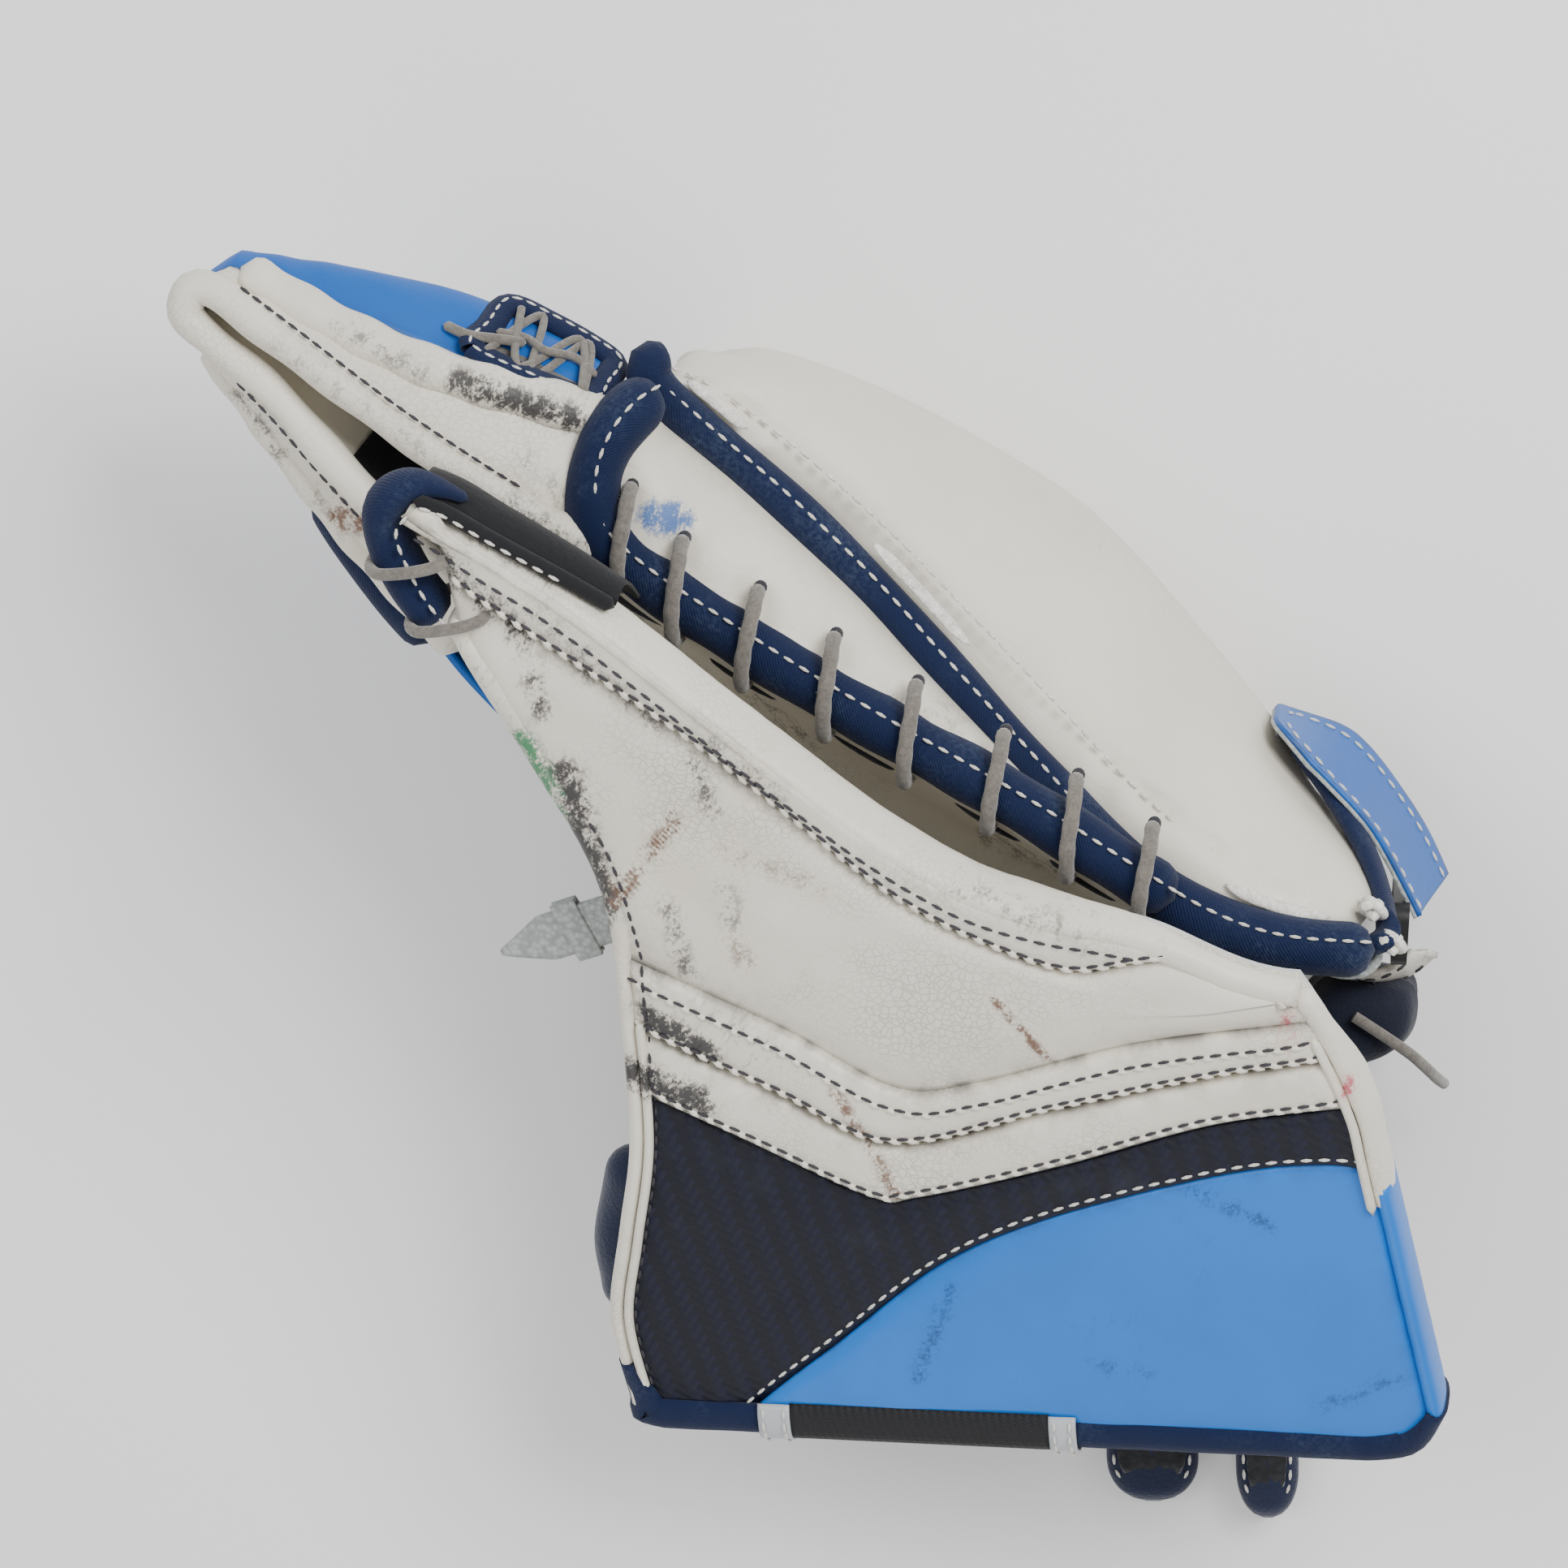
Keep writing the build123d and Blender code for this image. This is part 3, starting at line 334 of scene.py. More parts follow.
def capped(bm):
    """Closes the open ends of a sleeve."""
    ends = [e for e in bm.edges if e.is_boundary]
    if ends:
        bmesh.ops.holes_fill(bm, edges=ends, sides=400)
    return closed(bm)


def smoothed(bm):
    for face in bm.faces:
        face.smooth = True
    return bm


def facing(bm, direction):
    """Turns an open sheet so that it faces direction."""
    if sum((f.normal.dot(direction) * f.calc_area() for f in bm.faces), 0.0) < 0:
        bmesh.ops.reverse_faces(bm, faces=bm.faces)
    return bm


def piece(name, bm, look, body, stands_for=(), thick=0.0, slot=None):
    """Makes the object: its mesh in metres, its finish, and the body that it rides on."""
    bmesh.ops.scale(bm, vec=(MM, MM, MM), verts=bm.verts)
    mesh = bpy.data.meshes.new(name)
    bm.to_mesh(mesh)
    bm.free()
    obj = bpy.data.objects.new(name, mesh)
    bpy.context.scene.collection.objects.link(obj)
    mesh.materials.append(LOOKS[look])
    if thick:
        wall = obj.modifiers.new("Thickness", "SOLIDIFY")
        wall.thickness = thick * MM
        wall.offset = -1
    if body:
        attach(obj, body)
    slot or SLOTS[look]
    if stands_for:
        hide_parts(*stands_for)
    return obj


def tube(route, radius, sides=14, step=2.2, flat=1.0, up=(0, 0, 1), loop=False, ends=True):
    """Padded roll round a route; radius may depend on the share along it."""
    up = Vector(up)
    rows = max(10, int(route.length / step))
    widest = radius(0.5) if callable(radius) else radius

    def place(s, t):
        ahead = route.heading(t)
        side = ahead.cross(up).normalized()
        top = side.cross(ahead)
        grown = radius(t) if callable(radius) else radius
        reach = min(t, 1 - t) * route.length
        if ends and not loop and reach < grown:
            grown *= sqrt(max(0.0, 1 - (1 - reach / grown) ** 2))
        turn = 2 * pi * s
        return route.at(t) + side * (cos(turn) * grown) + top * (sin(turn) * grown * flat)

    return closed(surface(place, sides, rows, (2 * pi * widest, route.length)))


def add_bits(bm, places, long, thick, faces=(6, 4)):
    """One small rounded bit, long and thin, at each (point, heading) place."""
    for point, heading in places:
        turn = heading.to_track_quat("X", "Z").to_matrix().to_4x4()
        shape = Matrix.Translation(point) @ turn @ Matrix.Diagonal((long / 2, thick / 2, thick / 2, 1))
        bmesh.ops.create_uvsphere(bm, u_segments=faces[0], v_segments=faces[1], radius=1.0, matrix=shape)


def stitches(name, lines, look, body, sizes, every=None, pillow=None, slot=None):
    """Runs of thread along lines of points, in mm; pillow is the look of the leather that bulges between them."""
    bm = bmesh.new()
    if pillow:
        soft = bmesh.new()
        for line in lines:
            count = max(2, int(line.length / sizes.stitch_gap))
            for i in range(count):
                point, ahead = line.at(i / count), line.heading(i / count)
                side = ahead.cross(BOARD_UP).normalized()
                add_bits(soft, [(point + side * 0.9 - BOARD_UP * 0.55, (ahead + side * 0.25).normalized())],
                         sizes.stitch_gap * 0.95, 1.9)
        piece(f"{name}_puckers", smoothed(soft), pillow, body, slot=slot)
    gap = every or sizes.stitch_gap
    for line in lines:
        count = max(2, int(line.length / gap))
        places = [(line.at((i + 0.5) / count), line.heading((i + 0.5) / count)) for i in range(count)]
        add_bits(bm, places, sizes.stitch, sizes.thread)
    return piece(name, smoothed(bm), look, body, slot=slot)


# ---------------------------------------------------------------- finishes
class Field:
    """A shader value or colour that Python operators combine."""

    def __init__(self, finish, socket):
        self.finish, self.socket = finish, socket

    def math(self, operation, other=0.0, flip=False):
        first, second = (other, self) if flip else (self, other)
        return self.finish.node("ShaderNodeMath", {"operation": operation}, {0: first, 1: second})

    def __add__(self, other):
        return self.math("ADD", other)

    def __sub__(self, other):
        return self.math("SUBTRACT", other)

    def __rsub__(self, other):
        return self.math("SUBTRACT", other, True)

    def __mul__(self, other):
        return self.math("MULTIPLY", other)

    __radd__, __rmul__ = __add__, __mul__

    def over(self, low, high):
        """0 below low, 1 above high, smooth between."""
        return self.finish.node("ShaderNodeMapRange", {"interpolation_type": "SMOOTHSTEP"},
                                {"Value": self, "From Min": low, "From Max": high})

    def mix(self, start, end):
        """start where this is 0, end where it is 1."""
        return self.finish.node("ShaderNodeMix", {"data_type": "RGBA"}, {0: self, 6: start, 7: end}, 2)


class Finish:
    """One material and the nodes that make it."""

    def __init__(self, name, **constants):
        self.material = bpy.data.materials.new(name)
        self.material.use_nodes = True
        self.tree = self.material.node_tree
        self.shader = self.tree.nodes["Principled BSDF"]
        for socket, value in constants.items():
            self.shader.inputs[socket.replace("_", " ")].default_value = value

    def node(self, kind, settings, inputs, output=0):
        made = self.tree.nodes.new(kind)
        for key, value in settings.items():
            setattr(made, key, value)
        for key, value in inputs.items():
            if isinstance(value, Field):
                self.tree.links.new(value.socket, made.inputs[key])
            else:
                held = made.inputs[key]
                if held.type == "RGBA" and len(value) == 3:
                    value = (*value, 1.0)
                held.default_value = value
        return Field(self, made.outputs[output])

    def spot(self, turn=(0, 0, 0), stretch=(1, 1, 1)):
        """Object coordinates, turned and stretched, in metres."""
        at = self.node("ShaderNodeTexCoord", {}, {}, "Object")
        if turn == (0, 0, 0) and stretch == (1, 1, 1):
            return at
        return self.node("ShaderNodeMapping", {}, {"Vector": at, "Rotation": turn, "Scale": stretch})

    def flat(self):
        """The two UV coordinates, in mm."""
        uv = self.node("ShaderNodeUVMap", {"uv_map": "UVMap"}, {})
        parts = self.node("ShaderNodeSeparateXYZ", {}, {"Vector": uv}, "X")
        return parts, Field(self, parts.socket.node.outputs["Y"])

    def mark(self):
        """Colour and strength of the marks laid on the mesh."""
        return (self.node("ShaderNodeAttribute", {"attribute_name": "mark"}, {}, "Color"),
                self.node("ShaderNodeAttribute", {"attribute_name": "rub"}, {}, "Fac"))

    def seam(self):
        return self.node("ShaderNodeAttribute", {"attribute_name": "seam"}, {}, "Fac")

    def noise(self, at, scale, detail=3.0, rough=0.55, bend=0.0):
        return self.node("ShaderNodeTexNoise", {}, {"Vector": at, "Scale": scale, "Detail": detail,
                                                    "Roughness": rough, "Distortion": bend}, "Fac")

    def cells(self, at, scale, feature="DISTANCE_TO_EDGE"):
        return self.node("ShaderNodeTexVoronoi", {"feature": feature}, {"Vector": at, "Scale": scale}, "Distance")

    def bump(self, height, depth, strength=1.0):
        """Relief of the given depth, in mm, from a height of 0 to 1."""
        return self.node("ShaderNodeBump", {}, {"Height": height, "Distance": depth * MM, "Strength": strength},
                         "Normal")

    def out(self, **fields):
        for socket, field in fields.items():
            self.tree.links.new(field.socket, self.shader.inputs[socket.replace("_", " ")])
        return self.material


def shade(tint, by):
    return tuple(min(1.0, c * by) for c in tint)


def leather(name, tint, paint, crackle=0.5, scuff_and_shade_amount=0.5, gloss=0.42, stain=0.25, creases=0.4):
    """Painted leather: fine grain, a net of cracks, rubbed-in dark marks and painted shade along the seams."""
    f = Finish(name, Roughness=gloss, Specular_IOR_Level=0.45)
    at = f.spot()
    cloud = f.noise(at, 22.0, 4.0)
    grain = f.noise(at, 1500.0, 2.0)
    bent = f.node("ShaderNodeVectorMath", {"operation": "ADD"}, {0: at, 1: f.node(
        "ShaderNodeVectorMath", {"operation": "SCALE"}, {0: f.node("ShaderNodeTexNoise", {}, {
            "Vector": at, "Scale": 260.0, "Detail": 2.0}, "Color"), "Scale": 0.0016})})
    net = 1 - f.cells(bent, 520.0).over(0.02, 0.10)
    worn = f.noise(at, 26.0, 3.0, 0.6).over(0.42, 0.66)
    cracks = net * worn * crackle
    crease = f.noise(f.spot((0.5, 0.2, 0.9), (1.0, 2.6, 1.4)), 95.0, 4.0, 0.6, 1.2)
    smear = f.noise(f.spot((0.3, 0.1, 0.8), (2.2, 0.8, 1.2)), 230.0, 6.0, 0.72)
    where = f.noise(at, 17.0, 3.0, 0.6).over(0.55, 0.74)
    marks = (smear.over(0.53, 0.64) * where * scuff_and_shade_amount).math("MINIMUM", 1.0)
    scratch = f.noise(f.spot((0.2, 0.5, 0.55), (0.35, 9.0, 4.0)), 75.0, 3.0, 0.5).over(0.70, 0.76)
    marks = marks.math("MAXIMUM", scratch * where * (scuff_and_shade_amount * 0.8))
    # painted shade: darkens the leather near its seams, where the grooves lie in shade
    seam_shade = f.seam() * f.noise(at, 140.0, 4.0).over(0.35, 0.7)
    base = cloud.over(0.25, 0.8).mix(tint, shade(tint, 0.90))
    yellow = (tint[0] * 0.90, tint[1] * 0.84, tint[2] * 0.70)
    base = (f.noise(at, 30.0, 5.0, 0.6).over(0.56, 0.80) * stain).mix(base, yellow)
    base = (cracks * 0.55).mix(base, shade(tint, 0.50))
    # painted shade along the seams, in the scuff colour, then the real scuff marks
    base = (seam_shade * min(1.0, 0.35 + scuff_and_shade_amount * 0.5)).mix(base, paint.scuff_and_shade_tint)
    base = (marks * 0.85).mix(base, paint.scuff_and_shade_tint)
    rubbed, strong = f.mark()
    speck = f.noise(f.spot((0.3, 0.1, 0.8), (1.3, 0.9, 1.1)), 900.0, 6.0, 0.75)
    patch = f.noise(f.spot((0.0, 0.2, 0.8), (1.2, 0.8, 1.0)), 230.0, 5.0, 0.68)
    print_at = (speck * 0.5 + patch * 0.5 + strong * 0.17).over(0.53, 0.65) * strong.over(0.02, 0.6)
    base = (print_at * 0.9 + strong * 0.06).mix(base, rubbed)
    height = grain * 0.10 + crease * creases + (1 - cracks) * 0.35 - marks * 0.05
    return f.out(Base_Color=base, Roughness=(marks * 0.20) + gloss + (cloud * 0.12),
                 Normal=f.bump(height, 0.45, 0.75))


def twill(name, tint, pitch=0.95):
    """Binding tape: fine slanting ribs, a little sheen and some fluff."""
    f = Finish(name, Roughness=0.78, Specular_IOR_Level=0.3, Sheen_Weight=0.06)
    across, down = f.flat()
    rib = (across + down).math("MULTIPLY", 2 * pi / pitch).math("SINE") * 0.5 + 0.5
    yarn = (down - across).math("MULTIPLY", 2 * pi / (pitch * 0.7)).math("SINE") * 0.5 + 0.5
    at = f.spot()
    fluff = f.noise(at, 900.0, 3.0)
    rubbed = f.noise(at, 34.0, 5.0, 0.65).over(0.45, 0.75)
    base = (rib * 0.6 + yarn * 0.2).mix(shade(tint, 0.72), shade(tint, 1.25))
    base = (rubbed * fluff.over(0.35, 0.7) * 0.16).mix(base, linear(120, 138, 160))
    return f.out(Base_Color=base, Normal=f.bump(rib * 0.7 + yarn * 0.3 + fluff * 0.5, 0.22, 0.8))


def woven(name, tint, light, at_turn, pitch=2.4, gloss=0.5):
    """Coarse carbon-look weave in the plane turned by at_turn."""
    f = Finish(name, Roughness=gloss, Specular_IOR_Level=0.35)
    at = f.spot(at_turn, (1000 / pitch,) * 3)
    x = f.node("ShaderNodeSeparateXYZ", {}, {"Vector": at}, "X")
    y = Field(f, x.socket.node.outputs["Y"])
    step = (x.math("FLOOR") + y.math("FLOOR")).math("MULTIPLY", 0.25).math("FRACT")
    over = step.over(0.45, 0.55)
    ridge_x = (x.math("FRACT") - 0.5).math("ABSOLUTE")
    ridge_y = (y.math("FRACT") - 0.5).math("ABSOLUTE")
    warp = 1 - ridge_x * 2
    weft = 1 - ridge_y * 2
    high = over * warp + (1 - over) * weft
    fibre = ((x * over + y * (1 - over)) * (2 * pi * 5)).math("SINE") * 0.5 + 0.5
    wear = f.noise(f.spot(), 60.0, 5.0).over(0.55, 0.8)
    # partly painted highlight: the squares where one yarn direction lies on top are mixed towards the lighter colour,
    # as if they caught the light, over the weave's own pattern
    base = (over * 0.7 + fibre * 0.25).mix(shade(tint, 0.75), light)
    base = (wear * 0.10).mix(base, linear(80, 84, 104))
    return f.out(Base_Color=base, Normal=f.bump(high * 0.8 + fibre * 0.2, 0.30, 0.8))


def braid(name, tint, pitch=1.5, fluff_depth=0.35):
    """Braided lace with a felted, furry surface."""
    f = Finish(name, Roughness=0.9, Sheen_Weight=0.35, Sheen_Roughness=0.6)
    at = f.spot()
    hair = f.noise(at, 1300.0, 4.0, 0.7)
    tuft = f.noise(at, 420.0, 3.0)
    strand = f.cells(at, 1000 / pitch, "F1")
    base = (hair * 0.6 + tuft * 0.4).over(0.3, 0.7).mix(shade(tint, 0.62), shade(tint, 1.25))
    base = (f.noise(at, 120.0, 4.0).over(0.6, 0.8) * 0.4).mix(base, shade(tint, 0.4))
    return f.out(Base_Color=base, Normal=f.bump(hair * 0.6 + tuft * 0.5 + strand * 0.5, fluff_depth, 0.9))


def fabric(name, tint, scale=900.0, rough=0.85, sheen=0.2, contrast=0.3, depth=0.25):
    """Plain knitted or felted fabric."""
    f = Finish(name, Roughness=rough, Sheen_Weight=sheen)
    at = f.spot()
    loops = f.cells(at, scale, "F1")
    fluff = f.noise(at, scale * 0.7, 3.0)
    base = (loops.over(0.1, 0.8) * 0.6 + fluff * 0.4).mix(shade(tint, 1 + contrast), shade(tint, 1 - contrast))
    base = (f.noise(at, 40.0, 4.0).over(0.5, 0.8) * 0.25).mix(base, shade(tint, 1.6))
    return f.out(Base_Color=base, Normal=f.bump(fluff + loops * -0.6, depth, 0.8))


def moulded(name, tint, rough=0.45):
    """Moulded plastic with a fine texture and rubbed edges."""
    f = Finish(name, Roughness=rough)
    at = f.spot()
    grain = f.noise(at, 1400.0, 2.0)
    rub = f.noise(at, 90.0, 5.0).over(0.5, 0.75)
    return f.out(Base_Color=(rub * 0.3).mix(tint, shade(tint, 2.2)), Roughness=(rub * 0.2) + rough,
                 Normal=f.bump(grain, 0.08, 0.5))


def thread_finish(name, tint):
    f = Finish(name, Roughness=0.75)
    twist = f.noise(f.spot(), 1600.0, 2.0)
    return f.out(Base_Color=twist.mix(shade(tint, 0.7), shade(tint, 1.2)), Normal=f.bump(twist, 0.1, 0.6))


LOOKS = {}
SLOTS = {
    "white": "white_leather", "white_worn": "white_leather", "soft_white": "white_leather",
    "pad_white": "white_leather", "palm": "white_leather", "dark_thread": "white_leather",
    "blue": "blue_leather", "tee_blue": "blue_leather",
    "navy": "navy_binding", "light_thread": "navy_binding", "panel": "navy_panel", "navy_soft": "navy_panel",
    "navy_dark": "navy_panel", "lace": "lace", "felt": "lace", "white_lace": "white_lace", "black": "lining",
    "lining": "lining", "fleece": "black_fabric", "tag": "black_fabric", "tab": "reflective_tab", "webbing": "webbing",
}


def make_looks(paint):
    """Every finish that the pieces share, made once."""
    if LOOKS:
        return
    board_turn = (radians(-20), radians(-5), 0)
    LOOKS.update(
        white=leather("white_leather", paint.white, paint, 0.8, 0.55, 0.40, 0.35, 0.35),
        white_worn=leather("worn_white_leather", paint.white, paint, 0.5, 1.0, 0.42, 0.35, 0.6),
        soft_white=leather("soft_white_leather", paint.pad, paint, 0.15, 0.25, 0.42, 0.2, 0.8),
        pad_white=leather("pad_leather", paint.pad, paint, 0.0, 0.22, 0.45, 0.15, 0.55),
        blue=leather("cuff_blue_leather", paint.blue, paint, 0.0, 0.35, 0.33, 0.0, 0.15),
        # painted shade: the pocket blue is the cuff blue made darker, for the T's side that faces away from the light
        tee_blue=leather("pocket_blue_leather", paint.tee_blue, paint, 0.1, 0.2, 0.38, 0.0, 0.4),
        palm=leather("palm_leather_finish", linear(216, 210, 196), paint, 0.3, 1.0, 0.5, 0.3, 0.6),
        navy=twill("navy_binding_tape", paint.navy),
        panel=woven("navy_woven_panel", paint.panel, linear(14, 19, 42), board_turn),
        lace=braid("grey_lace", paint.lace),
        white_lace=braid("white_flat_lace", linear(226, 224, 216), 1.1, 0.25),
        black=fabric("black_mesh", paint.black, 700.0, 0.9, 0.05),
        fleece=fabric("black_fleece", linear(26, 27, 32), 420.0, 0.95, 0.5, 0.5, 0.8),
        navy_soft=fabric("navy_padding_fabric", shade(paint.navy, 0.8), 1100.0, 0.8, 0.3),
        navy_dark=fabric("dark_navy_fabric", shade(paint.navy, 0.35), 1100.0, 0.85, 0.1),
        tag=woven("black_tag_weave", linear(22, 22, 24), linear(40, 40, 44), board_turn, 0.7, 0.6),
        tab=moulded("reflective_tab", linear(176, 180, 184), 0.35),
        webbing=fabric("grey_webbing", linear(158, 164, 162), 620.0, 0.8, 0.3, 0.35, 0.5),
        hooks=fabric("hook_tape", linear(16, 16, 18), 520.0, 0.7, 0.1, 0.5, 0.9),
        plastic=moulded("black_ring_plastic", linear(18, 18, 20)),
        foam=fabric("closed_cell_foam", linear(214, 208, 192), 1200.0),
        stiff=moulded("stiffener_plastic", linear(200, 200, 200), 0.5),
        lining=fabric("dark_lining", linear(44, 44, 50), 800.0, 0.95, 0.3),
        felt=fabric("palm_felt_finish", linear(110, 108, 104), 500.0, 0.95, 0.4),
        dark_thread=thread_finish("dark_thread", paint.thread),
        light_thread=thread_finish("light_thread", paint.light_thread),
    )


class GloveStep:
    """What every building step shares."""
    bl_options = {"REGISTER"}

    def execute(self, context):
        make_looks(context.scene.glove_paint)
        self.build(context.scene.glove_sizes)
        return {"FINISHED"}


# ---------------------------------------------------------------- thumb and cuff board
def board_loop():
    """The board's outline, anticlockwise from the thumb tip, as dense points, and where its stretches start."""
    left = points_of([tuple((CUFF_LEFT + Vector((-6, 7, 0)))[:2]), tuple((CUFF_LEFT + Vector((-2.5, 1.5, 0)))[:2]),
                      tuple((CUFF_LEFT + CUFF_DIR * 6)[:2])])
    right = points_of([tuple((CUFF_RIGHT - CUFF_DIR * 12)[:2]), tuple((CUFF_RIGHT + Vector((-2, 2.5, 0)))[:2]),
                       tuple((CUFF_RIGHT + Vector((-3, 16, 0)))[:2])])
    stretches = [through(points_of(THUMB_EDGE) + left[:1], 6)[:-1], through(left, 4)[:-1],
                 [left[-1].lerp(right[0], i / 30) for i in range(30)], through(right, 4)[:-1],
                 through(right[-1:] + points_of(HEEL_EDGE), 6)[:-1], through(points_of(LIP_EDGE), 6)[:-1]]
    loop, starts = [], []
    for stretch in stretches:
        starts.append(len(loop))
        loop += stretch
    return loop, starts


def inset(loop, by):
    """The loop moved inwards by the given distance, in mm."""
    moved = []
    count = len(loop)
    for i, here in enumerate(loop):
        run = (loop[(i + 1) % count] - loop[i - 1]).normalized()
        moved.append(here + Vector((-run.y, run.x, 0)) * by)
    return moved


LOOP, STARTS = board_loop()
INNER = inset(LOOP, 3.2)
SKINS = []


def on_skin(u, v, lift):
    """A point over the made panels of the board, in mm from their surface."""
    start = on_board(u, v, 20.0)
    far = min((hit[3] for hit in (skin.ray_cast(start, -BOARD_UP, 40.0) for skin in SKINS) if hit[0]), default=20.0)
    return start - BOARD_UP * (far - lift)


def crossings(seam):
    """Where a seam crosses the panels' outer edge: (index on the seam, index on the loop, point), first and last."""
    line = through(points_of(seam), 8)
    found = []
    for i, (a, b) in enumerate(zip(line, line[1:])):
        for j, (c, d) in enumerate(zip(INNER, INNER[1:] + INNER[:1])):
            hit = intersect_line_line_2d(a.xy, b.xy, c.xy, d.xy)
            if hit:
                found.append((i, j, Vector((hit.x, hit.y, 0))))
    return line, found[0], found[-1]


def cut_seam(seam):
    """The stretch of a seam that lies on the board, and its two ends on the loop."""
    line, first, last = crossings(seam)
    inside = [first[2]] + line[first[0] + 1:last[0] + 1] + [last[2]]
    return Route(inside, smooth=False), first[1], last[1]


def patch(upper, lower, left, right):
    """A surface between four lines; left and right run from upper to lower."""
    a, b, c, d = upper.at(0), upper.at(1), lower.at(0), lower.at(1)

    def place(s, t):
        across = upper.at(s) * (1 - t) + lower.at(s) * t
        down = left.at(t) * (1 - s) + right.at(t) * s
        return across + down - ((a * (1 - s) + b * s) * (1 - t) + (c * (1 - s) + d * s) * t)
    return place


def board_panel(name, place, wide, deep, look, sizes, puff, relief=None, stands_for=()):
    """A leather panel on the board, swelling between its seams."""
    def lift(s, t):
        shape = (1 - abs(2 * t - 1) ** 5) * (1 - abs(2 * s - 1) ** 26)
        p = place(s, t)
        bumps = noise.noise(p * 0.035) * 0.5 + noise.noise(p * 0.11) * 0.22
        return p, shape * puff - sizes.groove * (1 - shape) + bumps * shape + (relief(p) if relief else 0.0)

    def laid(s, t):
        p, w = lift(s, t)
        return on_board(p.x, p.y, w)

    def edge(s, t):
        return max(exp(-min(t, 1 - t) * deep / 2.2), 0.6 * exp(-min(s, 1 - s) * wide / 2.5))

    bm = facing(surface(laid, max(12, int(wide / 2.2)), max(8, int(deep / 1.8)), (wide, deep), edge), BOARD_UP)
    SKINS.append(BVHTree.FromBMesh(bm))
    return piece(name, bm, look, "thumb_side", stands_for, thick=2.0)


def thumb_relief(p):
    """A long shallow fold by the lip, and creases that fan out from the thumb edge."""
    fold = -0.8 * exp(-((p.y + 0.12 * p.x + 38) / 9) ** 2) * smoothstep(-130, -90, p.x) * smoothstep(10, -30, p.x)
    fan = 0.5 * sin(p.y * 0.22 + p.x * 0.05) * exp(-((p.x + 60) / 40) ** 2) * exp(-((p.y + 62) / 22) ** 2)
    return fold + fan


def board_stitches(name, seam, shift, sizes, look, pillow=None):
    """A run of thread beside a seam of the board."""
    route, _, _ = cut_seam(seam)
    points = []
    count = max(10, int(route.length / 3))
    for i in range(count + 1):
        share = SEAM_END + (1 - 2 * SEAM_END) * i / count
        run = route.heading(share)
        p = route.at(share) + Vector((-run.y, run.x, 0)) * shift
        points.append(on_skin(p.x, p.y, 0.25))
    stitches(name, [Route(points)], look, "thumb_side", sizes, pillow=pillow)


class GLOVE_OT_board(GloveStep, bpy.types.Operator):
    """Leather panels of the thumb and cuff board, with their seams"""
    bl_idname = "glove.board"
    bl_label = "Board panels"

    def build(self, sizes):
        cut = {name: cut_seam(seam) for name, seam in (
            ("lip", LIP_SEAM), ("welt", WELT_SEAM), ("mid", MID_SEAM), ("navy", NAVY_SEAM), ("blue", BLUE_SEAM))}
        lip, lip_left, lip_right = cut["lip"]
        lip_edge = Route((INNER[lip_right + 1:] + INNER[:1])[::-1], smooth=False)
        end = lip.at(1)
        place = patch(lip_edge, lip, Route(INNER[:lip_left + 1] + [lip.at(0)], smooth=False),
                      Route([lip_edge.at(1), end], smooth=False))
        board_panel("lip_band_cover", place, 240, 15, "white_worn", sizes, sizes.puff, None, ["lip_band"])
        rows = (("thumb_panel", "lip", "welt", 85, sizes.puff * 1.3, thumb_relief),
                ("welt_band_upper", "welt", "mid", 16, sizes.puff * 1.1, None),
                ("welt_band_lower", "mid", "navy", 16, sizes.puff * 1.1, None))
        for name, upper, lower, deep, puff, relief in rows:
            (up, ul, ur), (low, ll, lr) = cut[upper], cut[lower]
            left = Route([up.at(0)] + INNER[ul + 1:ll + 1] + [low.at(0)], smooth=False)
            right = Route([up.at(1)] + INNER[lr + 1:ur + 1][::-1] + [low.at(1)], smooth=False)
            board_panel(f"{name}_cover", patch(up, low, left, right), up.length, deep, "white", sizes, puff, relief,
                        [name])
        (navy, nl, nr), (blue, bl, br) = cut["navy"], cut["blue"]
        corner = STARTS[2]
        lower = Route(INNER[corner:bl + 1] + blue.points, smooth=False)
        left = Route([navy.at(0)] + INNER[nl + 1:corner + 1], smooth=False)
        right = Route([navy.at(1)] + INNER[br + 1:nr + 1][::-1] + [blue.at(1)], smooth=False)
        board_panel("navy_panel_cover", patch(navy, lower, left, right), 220, 60, "panel", sizes, 0.5, None,
                    ["navy_panel"])
        far = STARTS[3] + 2
        bottom = Route([blue.at(0)] + INNER[bl + 1:far + 1], smooth=False)
        side = Route([blue.at(1)] + INNER[far:br + 1][::-1], smooth=False)
        board_panel("blue_panel_cover", patch(blue, bottom, Route([blue.at(0)] * 2, smooth=False), side), 180, 90,
                    "blue", sizes, 0.9, None, ["blue_panel"])
        for name, seam, shift in (("lip_stitching", LIP_SEAM, 2.4), ("welt_stitching", WELT_SEAM, -4.6),
                                  ("mid_stitching", MID_SEAM, 2.8), ("navy_edge_stitching", NAVY_SEAM, 3.6)):
            board_stitches(name, seam, shift, sizes, "dark_thread", pillow="white")
        board_stitches("blue_seam_stitching", BLUE_SEAM, 2.4, sizes, "light_thread")


